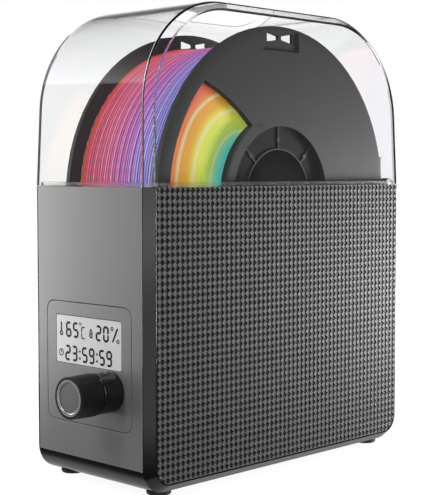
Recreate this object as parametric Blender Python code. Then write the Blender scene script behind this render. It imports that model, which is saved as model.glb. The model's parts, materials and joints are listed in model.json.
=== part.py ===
"""Single-spool filament dryer: a heated box with a clear hinged cover and one loaded spool.

Metres, +Z up. The control panel faces -Y. The origin is the middle of the box that bounds
the whole part, on the surface that its feet stand on.
"""
import math

import bmesh
import bpy
from mathutils import Matrix, Vector

# Clearances and walls
GAP = 0.0003
CASE_WALL = 0.002
BOTTOM_WALL = 0.0024
PANEL_THICKNESS = 0.0012
PANEL_MARGIN = 0.0006

# The spool that the box is made for
SPOOL_RADIUS = 0.100
SPOOL_WIDTH = 0.0782
FLANGE_THICKNESS = 0.0044
HUB_RING_RADIUS = 0.0485
HUB_RING_RISE = 0.0005
HUB_RECESS_RADIUS = 0.0415
HUB_RECESS_DEPTH = 0.0036
HUB_WALL = 0.003
SPOOL_BORE_RADIUS = 0.0275
RIM_WIDTH = 0.0085
RIM_BEVEL_WIDTH = 0.0070
RIM_BEVEL_DROP = 0.0009
WINDOW_HALF_ANGLE = math.radians(30.5)
WINDOW_EDGE_SKEW = math.radians(13.0)
WINDOW_CENTRES = (math.radians(165.0), math.radians(285.0))
HUB_SPOKES = 8
SPOKE_WIDTH = 0.0010
SPOKE_HEIGHT = 0.0008
CLIP_HOLE_WIDTH = 0.0102
CLIP_HOLE_HEIGHT = 0.0060
CLIP_NECK = 0.0024
CLIP_EDGE = 0.0037
CLIP_POCKET_SIDE = 0.0043
CLIP_POCKET_BELOW = 0.0048
CLIP_POCKET_ABOVE = 0.0010
CLIP_POCKET_DEPTH = 0.0015

# The filament on the spool
WINDING_BELOW_RIM = 0.0095
WINDING_TUBE_RADIUS = 0.00105
WINDING_LOOPS = 23
POINTS_PER_LOOP = 24

# Room round the spool
NEAR_CLEARANCE = 0.0027
FAR_CLEARANCE = 0.0133
END_CLEARANCE = 0.0085
HEAD_CLEARANCE = 0.0080
SPLIT_ABOVE_AXIS = 0.0064

# Rollers under the spool
ROLLER_RADIUS = 0.0080
ROLLER_ANGLE = math.radians(35.0)
ROLLER_FLOOR_CLEARANCE = 0.0017
AXLE_RADIUS = 0.0015
ROLLER_BRACKET_THICKNESS = 0.0016
ROLLER_BRACKET_MARGIN = math.radians(6.0)

# Case form
FOOT_HEIGHT = 0.003
FOOT_RADIUS = 0.007
FOOT_INSET_X = 0.0135
FOOT_INSET_Y = 0.0190
BOTTOM_RADIUS = 0.015
EDGE_RUN = 0.0054
EDGE_DROP = 0.0046
FRONT_PANEL_LIFT = 0.0127
TRAY_THICKNESS = 0.002
BAY_HEIGHT = 0.040
LEDGE_SHARE = 0.8

# Clear cover
COVER_WALL = 0.002
COVER_CORNER_RADIUS = 0.0614
COVER_DRAFT = math.radians(1.75)
GASKET_WIDTH = 0.0010
GASKET_HEIGHT = 0.0022

# Control panel
LCD_WIDTH = 0.0562
LCD_HEIGHT = 0.0277
LCD_FRAME = 0.0015
LCD_DEPTH = 0.0053
BEZEL_SIDE_MARGIN = 0.00825
BEZEL_TOP_MARGIN = 0.0078
BEZEL_BELOW_TRAY = 0.0068
BEZEL_RADIUS = 0.006
KNOB_DROP = 0.0116
KNOB_FROM_LCD_EDGE = 0.0089
BEZEL_BELOW_KNOB = 0.0217
BOARD_THICKNESS = 0.0016
KNOB_RADIUS = 0.0118
KNOB_LENGTH = 0.0152
KNOB_FLUTES = 36
FLUTE_DEPTH = 0.0005
KNOB_TRAVEL = 0.0008
KNOB_CAP_RADIUS = 0.0098
KNOB_CAP_DEPTH = 0.0010
COLLAR_LENGTH = 0.0132
COLLAR_RADIUS = 0.0114
ENCODER_SIZE = 0.0125
BUSH_RADIUS = 0.0048
ROTOR_RADIUS = 0.0034
SHAFT_RADIUS = 0.0021

# Heater bay
FAN_SIZE = 0.060
FAN_DEPTH = 0.015
FAN_BLADES = 7
FAN_WINDOW_SPREAD = math.radians(38.0)
BLADE_SWEEP = 0.35
BLADE_PITCH = 0.55
BLADE_TWIST = 0.12
FAN_HUB_RADIUS = 0.012
FAN_STANDOFF = 0.0030
FAN_WALL = 0.002
DUCT_WALL = 0.002
HEATER_HEIGHT = 0.012
HEATER_LIFT = 0.002
HEATER_SLOTS = 9
GRILLE_SLOTS = 7
GRILLE_SLOT_WIDTH = 0.0035
GRILLE_PITCH = 0.0070
GRILLE_LENGTH = 0.050
BOTTOM_OPENING_X = 0.036
BOTTOM_OPENING_Y = 0.078

# Back of the case
INLET_WIDTH = 0.028
INLET_HEIGHT = 0.021
INLET_DEPTH = 0.018
INLET_FLANGE = 0.0025
INLET_FLANGE_THICKNESS = 0.0015
INLET_WALL = 0.0025
INLET_OFFSET_X = 0.022
INLET_LIFT = 0.030
POWER_BOARD_WIDTH = 0.042
POWER_BOARD_HEIGHT = 0.060
POWER_BOARD_STANDOFF = 0.0025
BOSS_RADIUS = 0.0025
OUTLET_RADIUS = 0.0055
OUTLET_BORE = 0.0034
OUTLET_FLANGE_RADIUS = 0.0085
OUTLET_FLANGE_THICKNESS = 0.0018
OUTLET_REACH = 0.006
OUTLET_BELOW_SPLIT = 0.022
SENSOR_SIZE = (0.012, 0.004, 0.014)
SENSOR_BELOW_SPLIT = 0.036
SENSOR_OFFSET_X = -0.030
SENSOR_SLITS = 3

# Hinge
HINGE_OFFSET_X = 0.028
KNUCKLE_RADIUS = 0.0036
HINGE_STAND_OFF = 0.0006
HINGE_PIN_RADIUS = 0.0013
HINGE_LEAF_WIDTH = 0.020
HINGE_LEAF_HEIGHT = 0.016
HINGE_LEAF_THICKNESS = 0.002
KNUCKLE_SHARE = 0.42

# Sizes that follow from the ones above
end_wall = PANEL_THICKNESS + GAP + CASE_WALL
side_wall = end_wall
chamber_half_width = (SPOOL_WIDTH + NEAR_CLEARANCE + FAR_CLEARANCE) / 2
chamber_half_depth = SPOOL_RADIUS + END_CLEARANCE
case_half_width = chamber_half_width + side_wall
case_half_depth = chamber_half_depth + end_wall
spool_x = chamber_half_width - NEAR_CLEARANCE - SPOOL_WIDTH / 2
tray_radius = SPOOL_RADIUS + GAP + 2 * ROLLER_RADIUS + ROLLER_FLOOR_CLEARANCE
tray_outer = tray_radius + TRAY_THICKNESS
axis_height = FOOT_HEIGHT + BAY_HEIGHT + tray_outer
split_height = axis_height + SPLIT_ABOVE_AXIS
cover_top = axis_height + SPOOL_RADIUS + HEAD_CLEARANCE + COVER_WALL
front_y = -case_half_depth
back_y = case_half_depth
wall_inside = -chamber_half_depth

tray_end = chamber_half_depth - GAP
tray_end_height = axis_height - math.sqrt(tray_outer ** 2 - tray_end ** 2)
bezel_top = tray_end_height - BEZEL_BELOW_TRAY
lcd_top = bezel_top - BEZEL_TOP_MARGIN
lcd_bottom = lcd_top - LCD_HEIGHT
knob_x = LCD_WIDTH / 2 - KNOB_FROM_LCD_EDGE
knob_height = lcd_bottom - KNOB_DROP
bezel_bottom = knob_height - BEZEL_BELOW_KNOB
collar_front = front_y - GAP - COLLAR_LENGTH
knob_rear = collar_front - KNOB_TRAVEL - GAP
knob_front = knob_rear - KNOB_LENGTH

hinge_y = back_y + HINGE_STAND_OFF + KNUCKLE_RADIUS
hinge_z = split_height + GAP
outlet_height = split_height - OUTLET_BELOW_SPLIT
case_y = -(knob_front + hinge_y + KNUCKLE_RADIUS) / 2
fan_base = FOOT_HEIGHT + BOTTOM_WALL + FAN_STANDOFF + GAP
fan_top = fan_base + FAN_DEPTH
roller_orbit = SPOOL_RADIUS + GAP + ROLLER_RADIUS
window_outer = SPOOL_RADIUS - RIM_WIDTH
winding_radius = SPOOL_RADIUS - WINDING_BELOW_RIM


def clear_scene():
    for obj in list(bpy.data.objects):
        bpy.data.objects.remove(obj, do_unlink=True)


def finish(name, colour, roughness, metallic=0.0, alpha=1.0):
    """A Principled material with one part's colour and gloss."""
    material = bpy.data.materials.new(name)
    material.use_nodes = True
    shader = material.node_tree.nodes["Principled BSDF"]
    shader.inputs["Base Color"].default_value = (*colour, 1.0)
    shader.inputs["Roughness"].default_value = roughness
    shader.inputs["Metallic"].default_value = metallic
    shader.inputs["Alpha"].default_value = alpha
    return material


def empty(name, location, parent=None):
    """A pivot: its place in case coordinates is kept for the pieces that hang on it."""
    pivot = bpy.data.objects.new(name, None)
    bpy.context.scene.collection.objects.link(pivot)
    pivot.parent = parent
    pivot.location = location
    return pivot


def build(name, bm, material=None, pivot=None, smooth=None):
    """Turn a mesh in case coordinates into an object that hangs on its pivot."""
    bmesh.ops.remove_doubles(bm, verts=bm.verts, dist=1e-7)
    bmesh.ops.recalc_face_normals(bm, faces=bm.faces)
    mesh = bpy.data.meshes.new(name)
    bm.to_mesh(mesh)
    bm.free()
    obj = bpy.data.objects.new(name, mesh)
    bpy.context.scene.collection.objects.link(obj)
    holder = pivot or CASE
    if pivot is not None:
        mesh.transform(Matrix.Translation(-pivot.location))
    obj.parent = holder
    if material is not None:
        mesh.materials.append(material)
    if smooth is not None:
        mesh.shade_smooth()
        mesh.set_sharp_from_angle(angle=math.radians(smooth))
    return obj


def combine(obj, tool, operation="DIFFERENCE"):
    """Cut or join one object with a hidden tool object."""
    modifier = obj.modifiers.new(tool.name, "BOOLEAN")
    modifier.operation = operation
    modifier.object = tool
    tool.hide_render = True
    tool.display_type = "WIRE"
    return obj


def add_box(bm, low, high):
    centre = (Vector(low) + Vector(high)) / 2
    size = Vector(high) - Vector(low)
    place = Matrix.Translation(centre) @ Matrix.Diagonal((*size, 1.0))
    bmesh.ops.create_cube(bm, size=1.0, matrix=place)


def boxes(pairs):
    bm = bmesh.new()
    for low, high in pairs:
        add_box(bm, low, high)
    return bm


def put(axis, across, along):
    """A point from two cross coordinates and one along the axis (X: y, z; Y: x, z; Z: x, y)."""
    u, v = across
    if axis == "X":
        return (along, u, v)
    if axis == "Y":
        return (u, along, v)
    return (u, v, along)


def skin(bm, sections):
    """Add a closed solid through rings of equal length, capped at both ends."""
    rings = [[bm.verts.new(point) for point in section] for section in sections]
    for first, second in zip(rings, rings[1:]):
        for i in range(len(first)):
            j = (i + 1) % len(first)
            bm.faces.new((first[i], first[j], second[j], second[i]))
    bm.faces.new(rings[0])
    bm.faces.new(rings[-1])


def loft(sections):
    bm = bmesh.new()
    skin(bm, sections)
    return bm


def prisms(outlines, axis, low, high):
    """One straight solid on each outline."""
    bm = bmesh.new()
    for outline in outlines:
        skin(bm, [[put(axis, point, along) for point in outline] for along in (low, high)])
    return bm


def prism(outline, axis, low, high):
    return prisms([outline], axis, low, high)


def turned(profile, axis, centre, steps, ring=True):
    """Revolve (radius, along) points about an axis; a ring profile closes on itself."""
    bm = bmesh.new()
    columns = []
    for i in range(steps):
        angle = 2 * math.pi * i / steps
        columns.append([
            bm.verts.new(put(axis, (centre[0] + r * math.cos(angle), centre[1] + r * math.sin(angle)), t))
            for r, t in profile
        ])
    count = len(profile)
    for i in range(steps):
        near, far = columns[i], columns[(i + 1) % steps]
        for k in range(count if ring else count - 1):
            m = (k + 1) % count
            bm.faces.new((near[k], near[m], far[m], far[k]))
    if not ring:
        bm.faces.new([column[0] for column in columns])
        bm.faces.new([column[-1] for column in columns])
    return bm


def tube(inner, outer, low, high, axis, centre, steps):
    return turned([(inner, low), (inner, high), (outer, high), (outer, low)], axis, centre, steps)


def disc(radius, low, high, axis, centre, steps):
    return turned([(radius, low), (radius, high)], axis, centre, steps, ring=False)


def arc(centre, radius, start, end, steps):
    """Points on an arc, both ends included."""
    return [
        (
            centre[0] + radius * math.cos(start + (end - start) * i / steps),
            centre[1] + radius * math.sin(start + (end - start) * i / steps),
        )
        for i in range(steps + 1)
    ]


def circle(centre, radius, steps):
    return arc(centre, radius, 0, 2 * math.pi, steps)[:-1]


def rounded_rectangle(low, high, radius, steps=4):
    (x0, z0), (x1, z1) = low, high
    quarter = math.pi / 2
    return (
        arc((x1 - radius, z1 - radius), radius, 0, quarter, steps)
        + arc((x0 + radius, z1 - radius), radius, quarter, 2 * quarter, steps)
        + arc((x0 + radius, z0 + radius), radius, 2 * quarter, 3 * quarter, steps)
        + arc((x1 - radius, z0 + radius), radius, 3 * quarter, 4 * quarter, steps)
    )


def case_outline(inset, floor_inset, top):
    """Side outline of the case in (y, z): flat on top, round at the two lower corners."""
    half = case_half_depth - inset
    floor = FOOT_HEIGHT + floor_inset
    radius = max(BOTTOM_RADIUS - inset, CASE_WALL)
    return (
        [(-half, top)]
        + arc((radius - half, floor + radius), radius, math.pi, 1.5 * math.pi, 8)
        + arc((half - radius, floor + radius), radius, 1.5 * math.pi, 2 * math.pi, 8)
        + [(half, top)]
    )


def case_block(side_inset, end_inset, floor_inset, top):
    """The case form with its long edges chamfered, moved inwards by the given walls."""
    half = case_half_width - side_inset
    full = case_outline(end_inset, floor_inset, top)
    narrow = case_outline(end_inset + EDGE_DROP, floor_inset + EDGE_DROP, top)
    stations = ((-half, narrow), (EDGE_RUN - half, full), (half - EDGE_RUN, full), (half, narrow))
    return loft([[(x, y, z) for y, z in outline] for x, outline in stations])


def cover_outline(inset, bottom):
    """Side outline of the cover in (y, z): drafted ends and two large top corners."""
    slope = math.tan(COVER_DRAFT)
    radius = COVER_CORNER_RADIUS - inset
    top = cover_top - inset
    half = case_half_depth - inset
    shoulder = top - radius
    lean = COVER_DRAFT
    tangent = shoulder + radius * math.sin(lean)
    reach = half - (tangent - split_height) * slope - radius * math.cos(lean)
    foot = half - (bottom - split_height) * slope
    return (
        [(foot, bottom)]
        + arc((reach, shoulder), radius, lean, math.pi / 2, 12)
        + arc((-reach, shoulder), radius, math.pi / 2, math.pi - lean, 12)
        + [(-foot, bottom)]
    )


def cover_block(inset, bottom):
    """The cover form: chamfered like the case, and leaning in towards the top."""
    slope = math.tan(COVER_DRAFT)
    half = case_half_width - inset
    full = cover_outline(inset, bottom)
    narrow = cover_outline(inset + EDGE_DROP, bottom)
    stations = ((-1, 0.0, narrow), (-1, EDGE_RUN, full), (1, EDGE_RUN, full), (1, 0.0, narrow))
    return loft([
        [(side * (half - run - (z - split_height) * slope), y, z) for y, z in outline]
        for side, run, outline in stations
    ])


def make_case_shell():
    shell = build("base_shell", case_block(0, 0, 0, split_height), SHELL_BLACK)
    past = CASE_WALL
    combine(shell, build("cut_chamber", case_block(side_wall, end_wall, BOTTOM_WALL, split_height + past)))
    pocket = PANEL_THICKNESS + GAP
    half = case_half_width - EDGE_RUN - PANEL_MARGIN
    front_pocket = boxes([(
        (-half, front_y - past, FOOT_HEIGHT + FRONT_PANEL_LIFT),
        (half, front_y + pocket, split_height + past),
    )])
    combine(shell, build("cut_front_pocket", front_pocket))
    inset = EDGE_DROP + PANEL_MARGIN
    outline = case_outline(inset, inset, split_height + past)
    for side, name in ((1, "near"), (-1, "far")):
        ends = sorted((side * (case_half_width - pocket), side * (case_half_width + past)))
        combine(shell, build("cut_side_pocket_" + name, prism(outline, "X", *ends)))
    openings = boxes([
        ((-BOTTOM_OPENING_X, -BOTTOM_OPENING_Y, 0), (BOTTOM_OPENING_X, BOTTOM_OPENING_Y, fan_base)),
        (
            (LCD_FRAME - LCD_WIDTH / 2, front_y - past, lcd_bottom + LCD_FRAME),
            (LCD_WIDTH / 2 - LCD_FRAME, wall_inside + past, lcd_top - LCD_FRAME),
        ),
        (
            (INLET_OFFSET_X - INLET_WIDTH / 2 - GAP, -wall_inside - past, INLET_LIFT - INLET_HEIGHT / 2 - GAP),
            (INLET_OFFSET_X + INLET_WIDTH / 2 + GAP, back_y + past, INLET_LIFT + INLET_HEIGHT / 2 + GAP),
        ),
    ])
    combine(shell, build("cut_case_openings", openings))
    bush = disc(BUSH_RADIUS + GAP, front_y - past, wall_inside + past, "Y", (knob_x, knob_height), 16)
    combine(shell, build("cut_bush_hole", bush))
    outlet = disc(OUTLET_RADIUS + GAP, -wall_inside - past, back_y + past, "Y", (spool_x, outlet_height), 24)
    combine(shell, build("cut_outlet_hole", outlet))
    combine(shell, build("case_ledges", case_ledges()), "UNION")
    combine(shell, build("case_bosses", case_bosses()), "UNION")


def case_ledges():
    """Two inside ribs, front and back, that the curved tray rests on."""
    depth = 2 * CASE_WALL + GAP
    reach = chamber_half_depth - depth
    top = axis_height - math.sqrt((tray_outer + GAP) ** 2 - reach ** 2)
    bury = CASE_WALL / 4
    half = chamber_half_width * LEDGE_SHARE
    pairs = []
    for side in (-1, 1):
        ends = sorted((side * reach, side * (chamber_half_depth + bury)))
        pairs.append(((-half, ends[0], top - CASE_WALL), (half, ends[1], top)))
    return boxes(pairs)


def power_board_place():
    left = -chamber_half_width + EDGE_RUN + 2 * CASE_WALL
    low = FOOT_HEIGHT + BOTTOM_RADIUS
    return left, low


def case_bosses():
    """Four short posts on the back wall that carry the power board."""
    left, low = power_board_place()
    inset = 2 * BOSS_RADIUS
    posts = []
    for x in (left + inset, left + POWER_BOARD_WIDTH - inset):
        for z in (low + inset, low + POWER_BOARD_HEIGHT - inset):
            posts.append(circle((x, z), BOSS_RADIUS, 12))
    return prisms(posts, "Y", chamber_half_depth - POWER_BOARD_STANDOFF, chamber_half_depth + CASE_WALL / 4)


def make_outer_panels():
    half = case_half_width - EDGE_RUN - PANEL_MARGIN - GAP
    plate = boxes([(
        (-half, front_y, FOOT_HEIGHT + FRONT_PANEL_LIFT + GAP),
        (half, front_y + PANEL_THICKNESS, split_height),
    )])
    panel = build("front_panel", plate, PANEL_GREY)
    reach = LCD_WIDTH / 2 + BEZEL_SIDE_MARGIN
    hole = rounded_rectangle((-reach, bezel_bottom), (reach, bezel_top), BEZEL_RADIUS)
    past = PANEL_THICKNESS
    combine(panel, build("cut_bezel_hole", prism(hole, "Y", front_y - past, front_y + 2 * past)))
    inset = EDGE_DROP + PANEL_MARGIN + GAP
    outline = case_outline(inset, inset, split_height)
    for side, name in ((1, "side_panel_near"), (-1, "side_panel_far")):
        ends = sorted((side * (case_half_width - PANEL_THICKNESS), side * case_half_width))
        build(name, prism(outline, "X", *ends), SIDE_BLACK)


def make_controls():
    reach = LCD_WIDTH / 2 + BEZEL_SIDE_MARGIN - GAP
    face = rounded_rectangle((-reach, bezel_bottom + GAP), (reach, bezel_top - GAP), BEZEL_RADIUS - GAP)
    bezel = build("control_bezel", prism(face, "Y", front_y, front_y + PANEL_THICKNESS), PANEL_GREY)
    past = PANEL_THICKNESS
    lcd_hole = boxes([(
        (-LCD_WIDTH / 2, front_y - past, lcd_bottom),
        (LCD_WIDTH / 2, front_y + 2 * past, lcd_top),
    )])
    combine(bezel, build("cut_lcd_hole", lcd_hole))
    shaft_hole = disc(BUSH_RADIUS + GAP, front_y - past, front_y + 2 * past, "Y", (knob_x, knob_height), 16)
    combine(bezel, build("cut_shaft_hole", shaft_hole))
    pane = rounded_rectangle(
        (GAP - LCD_WIDTH / 2, lcd_bottom + GAP), (LCD_WIDTH / 2 - GAP, lcd_top - GAP), CASE_WALL / 2, 3,
    )
    build("lcd_window", prism(pane, "Y", front_y, front_y + PANEL_THICKNESS), LCD_PALE)
    seat = wall_inside + GAP
    module = boxes([(
        (-LCD_WIDTH / 2 - LCD_FRAME, seat, lcd_bottom),
        (LCD_WIDTH / 2 + LCD_FRAME, seat + LCD_DEPTH, lcd_top),
    )])
    build("lcd_module", module, BOARD_GREEN)
    board_face = seat + LCD_DEPTH + GAP
    board = boxes([(
        (-LCD_WIDTH / 2 - LCD_FRAME, board_face, bezel_bottom + BEZEL_SIDE_MARGIN / 2),
        (LCD_WIDTH / 2 + LCD_FRAME, board_face + BOARD_THICKNESS, lcd_top - BEZEL_TOP_MARGIN),
    )])
    build("control_board", board, BOARD_GREEN)
    make_encoder(seat)


def make_encoder(seat):
    centre = (knob_x, knob_height)
    half = ENCODER_SIZE / 2
    body = boxes([(
        (centre[0] - half, seat, centre[1] - half),
        (centre[0] + half, seat + LCD_DEPTH, centre[1] + half),
    )])
    case = build("encoder_body", body, METAL)
    bush_end = front_y - COLLAR_LENGTH / 2
    combine(case, build("encoder_bush", disc(BUSH_RADIUS, bush_end, seat + CASE_WALL, "Y", centre, 16)), "UNION")
    floor = seat + LCD_DEPTH - CASE_WALL
    combine(case, build("cut_encoder_bore", disc(ROTOR_RADIUS + GAP, bush_end - CASE_WALL, floor, "Y", centre, 16)))
    rotor = tube(SHAFT_RADIUS + GAP, ROTOR_RADIUS, bush_end - CASE_WALL / 2, floor - GAP, "Y", centre, 16)
    build("encoder_rotor", rotor, METAL, KNOB_AXIS, 40)
    collar = turned(
        [
            (BUSH_RADIUS + GAP, front_y - GAP), (BUSH_RADIUS + GAP, collar_front),
            (COLLAR_RADIUS - FLUTE_DEPTH, collar_front), (COLLAR_RADIUS, collar_front + FLUTE_DEPTH),
            (COLLAR_RADIUS, front_y - GAP),
        ],
        "Y", centre, 48,
    )
    build("knob_collar", collar, KNOB_BLACK, smooth=40)
    outline = []
    for i in range(2 * KNOB_FLUTES):
        radius = KNOB_RADIUS if i % 2 else KNOB_RADIUS - FLUTE_DEPTH
        angle = math.pi * i / KNOB_FLUTES
        outline.append((centre[0] + radius * math.cos(angle), centre[1] + radius * math.sin(angle)))
    chamfer = 2 * FLUTE_DEPTH
    shrink = (KNOB_RADIUS - chamfer) / KNOB_RADIUS
    tip = [(centre[0] + (x - centre[0]) * shrink, centre[1] + (z - centre[1]) * shrink) for x, z in outline]
    rings = ((tip, knob_front), (outline, knob_front + chamfer), (outline, knob_rear))
    grip = build("knob", loft([[put("Y", p, y) for p in ring] for ring, y in rings]), KNOB_BLACK, KNOB_AXIS)
    recess = disc(KNOB_CAP_RADIUS + GAP, knob_front - CASE_WALL, knob_front + KNOB_CAP_DEPTH + GAP, "Y", centre, 36)
    combine(grip, build("cut_knob_cap", recess, None, KNOB_AXIS))
    socket_end = knob_front + KNOB_LENGTH / 2
    socket = disc(SHAFT_RADIUS + GAP, socket_end, knob_rear + CASE_WALL, "Y", centre, 16)
    combine(grip, build("cut_knob_socket", socket, None, KNOB_AXIS))
    cap = disc(KNOB_CAP_RADIUS, knob_front, knob_front + KNOB_CAP_DEPTH, "Y", centre, 36)
    build("knob_cap", cap, METAL, KNOB_AXIS, 40)
    shaft = disc(SHAFT_RADIUS, socket_end + GAP, floor - GAP - KNOB_TRAVEL, "Y", centre, 16)
    build("knob_shaft", shaft, METAL, KNOB_AXIS, 40)


def make_bottom():
    low = FOOT_HEIGHT
    plate = boxes([(
        (GAP - BOTTOM_OPENING_X, GAP - BOTTOM_OPENING_Y, low),
        (BOTTOM_OPENING_X - GAP, BOTTOM_OPENING_Y - GAP, low + BOTTOM_WALL),
    )])
    cover = build("bottom_cover", plate, SHELL_BLACK)
    slots = []
    for i in range(GRILLE_SLOTS):
        y = (i - (GRILLE_SLOTS - 1) / 2) * GRILLE_PITCH
        slots.append((
            (-GRILLE_LENGTH / 2, y - GRILLE_SLOT_WIDTH / 2, low - BOTTOM_WALL),
            (GRILLE_LENGTH / 2, y + GRILLE_SLOT_WIDTH / 2, low + 2 * BOTTOM_WALL),
        ))
    combine(cover, build("cut_bottom_slots", boxes(slots)))
    half = FAN_SIZE / 2
    post = 2 * BOSS_RADIUS
    pads = []
    for x in (-half, half - post):
        for y in (-half, half - post):
            pads.append(((x, y, low + BOTTOM_WALL / 2), (x + post, y + post, fan_base - GAP)))
    combine(cover, build("fan_posts", boxes(pads)), "UNION")
    x = case_half_width - FOOT_INSET_X
    y = case_half_depth - FOOT_INSET_Y
    places = ((x, -y, "near_front"), (x, y, "near_back"), (-x, -y, "far_front"), (-x, y, "far_back"))
    for px, py, name in places:
        waist = FOOT_RADIUS - FOOT_HEIGHT / 4
        profile = [(waist, 0.0), (FOOT_RADIUS, FOOT_HEIGHT / 4), (FOOT_RADIUS, FOOT_HEIGHT - GAP)]
        build("foot_" + name, turned(profile, "Z", (px, py), 20, ring=False), RUBBER, smooth=40)


def make_tray():
    """Curved chamber floor, concentric with the spool, with the warm-air slots at its lowest line."""
    bend = math.asin(tray_end / tray_outer)
    bend_inside = math.asin(tray_end / tray_radius)
    down = 1.5 * math.pi
    middle = (0.0, axis_height)
    outline = arc(middle, tray_outer, down - bend, down + bend, 32)
    outline += arc(middle, tray_radius, down + bend_inside, down - bend_inside, 32)
    half = chamber_half_width - GAP
    tray = build("chamber_tray", prism(outline, "X", -half, half), SHELL_BLACK, smooth=30)
    combine(tray, build("cut_tray_corners", tray_corners()))
    slots = []
    low = FOOT_HEIGHT + BAY_HEIGHT - TRAY_THICKNESS
    for i in range(GRILLE_SLOTS):
        y = (i - (GRILLE_SLOTS - 1) / 2) * GRILLE_PITCH
        slots.append((
            (-GRILLE_LENGTH / 2, y - GRILLE_SLOT_WIDTH / 2, low),
            (GRILLE_LENGTH / 2, y + GRILLE_SLOT_WIDTH / 2, low + 4 * TRAY_THICKNESS),
        ))
    combine(tray, build("cut_tray_slots", boxes(slots)))


def tray_corners():
    """Four wedges that cut the tray clear of the chamber's chamfered corners."""
    inner_run = chamber_half_width - 2 * EDGE_RUN
    outer_run = chamber_half_width + EDGE_RUN
    outer_end = chamber_half_depth + EDGE_DROP
    inner_end = chamber_half_depth - 2 * EDGE_DROP - 2 * GAP
    corners = []
    for sx in (-1, 1):
        for sy in (-1, 1):
            corners.append([
                (sx * inner_run, sy * (outer_end - 2 * GAP)),
                (sx * outer_run, sy * outer_end),
                (sx * outer_run, sy * inner_end),
            ])
    return prisms(corners, "Z", 0.0, axis_height)


def make_heater():
    half = FAN_SIZE / 2
    frame_outline = rounded_rectangle((-half, -half), (half, half), FAN_WALL, 3)
    frame = build("fan_frame", prism(frame_outline, "Z", fan_base, fan_top), KNOB_BLACK)
    reach = half - FAN_WALL
    throat = tube(FAN_HUB_RADIUS, reach, fan_base + FAN_WALL, fan_top + FAN_WALL, "Z", (0, 0), 36)
    combine(frame, build("cut_fan_throat", throat))
    top_cut = disc(reach, fan_base + 2 * FAN_WALL, fan_top + FAN_WALL, "Z", (0, 0), 36)
    combine(frame, build("cut_fan_well", top_cut))
    windows = []
    for i in range(4):
        first = math.pi / 4 + i * math.pi / 2 - FAN_WINDOW_SPREAD
        last = first + 2 * FAN_WINDOW_SPREAD
        outline = arc((0, 0), reach - GAP, first, last, 8)
        windows.append(outline + arc((0, 0), FAN_HUB_RADIUS, last, first, 4))
    combine(frame, build("cut_fan_windows", prisms(windows, "Z", fan_base - FAN_WALL, fan_base + 2 * FAN_WALL)))
    make_impeller(reach)
    make_duct(half)


def make_impeller(reach):
    low = fan_base + 2 * FAN_WALL + GAP
    high = fan_top - FAN_WALL / 2
    hub = build("fan_impeller", disc(FAN_HUB_RADIUS, low, high, "Z", (0, 0), 28), KNOB_BLACK, FAN_AXIS, 40)
    blades = bmesh.new()
    thick = FAN_WALL / 2
    root = FAN_HUB_RADIUS - thick
    tip = reach - FAN_WALL
    for i in range(FAN_BLADES):
        start = 2 * math.pi * i / FAN_BLADES
        sections = []
        for radius, sweep in ((root, 0.0), (tip, BLADE_SWEEP)):
            section = []
            lean = BLADE_PITCH * root / radius + BLADE_TWIST
            edge = thick / radius
            corners = ((0.0, low), (edge, low), (lean + edge, high), (lean, high))
            for turn, level in corners:
                angle = start + sweep + turn
                inset = thick if level == low else -thick
                section.append((radius * math.cos(angle), radius * math.sin(angle), level + inset))
            sections.append(section)
        skin(blades, sections)
    combine(hub, build("fan_blades", blades, None, FAN_AXIS), "UNION")


def make_duct(half):
    """Sheet duct from the fan up to the tray, holding the finned heater block."""
    top = FOOT_HEIGHT + BAY_HEIGHT + 4 * TRAY_THICKNESS
    wide = [(-half, -half), (half, -half), (half, half), (-half, half)]
    inner = half - DUCT_WALL
    hollow = [(-inner, -inner), (inner, -inner), (inner, inner), (-inner, inner)]
    duct = build("heater_duct", prism(wide, "Z", fan_top + GAP, top), METAL)
    combine(duct, build("cut_duct", prism(hollow, "Z", fan_top - DUCT_WALL, top + DUCT_WALL)))
    curve = disc(tray_outer + GAP, -half - DUCT_WALL, half + DUCT_WALL, "X", (0.0, axis_height), 128)
    combine(duct, build("cut_duct_top", curve))
    low = fan_top + GAP + HEATER_LIFT
    side = inner - GAP
    block = build("heater_core", boxes([((-side, -side, low), (side, side, low + HEATER_HEIGHT))]), METAL)
    pitch = 2 * side / (HEATER_SLOTS + 1)
    slots = []
    for i in range(HEATER_SLOTS):
        x = (i - (HEATER_SLOTS - 1) / 2) * pitch
        slots.append((
            (x - pitch / 3, DUCT_WALL * 2 - side, low - DUCT_WALL),
            (x + pitch / 3, side - DUCT_WALL * 2, low + HEATER_HEIGHT + DUCT_WALL),
        ))
    combine(block, build("cut_heater_fins", boxes(slots)))


def make_rollers():
    down = 1.5 * math.pi
    middle = (0.0, axis_height)
    spread = ROLLER_ANGLE + ROLLER_BRACKET_MARGIN
    crest = roller_orbit - 2 * AXLE_RADIUS
    outline = arc(middle, tray_radius - GAP, down - spread, down + spread, 24)
    outline += arc(middle, crest, down + spread, down - spread, 24)
    outside = chamber_half_width - GAP
    inside = outside - ROLLER_BRACKET_THICKNESS
    places = []
    for name, axis in (("front", ROLLER_FRONT), ("rear", ROLLER_REAR)):
        centre = (axis.location.y, axis.location.z)
        places.append(centre)
        roller = tube(AXLE_RADIUS + GAP, ROLLER_RADIUS, GAP - inside, inside - GAP, "X", centre, 24)
        build("roller_" + name, roller, RUBBER, axis, 40)
        axle = disc(AXLE_RADIUS, GAP - outside, outside - GAP, "X", centre, 12)
        build("axle_" + name, axle, METAL, smooth=40)
    for side, name in ((1, "near"), (-1, "far")):
        ends = sorted((side * inside, side * outside))
        bracket = build("roller_bracket_" + name, prism(outline, "X", *ends), METAL)
        for centre, place in zip(places, ("front", "rear")):
            hole = disc(AXLE_RADIUS + GAP, ends[0] - CASE_WALL, ends[1] + CASE_WALL, "X", centre, 12)
            combine(bracket, build("cut_axle_" + name + "_" + place, hole))


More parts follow.
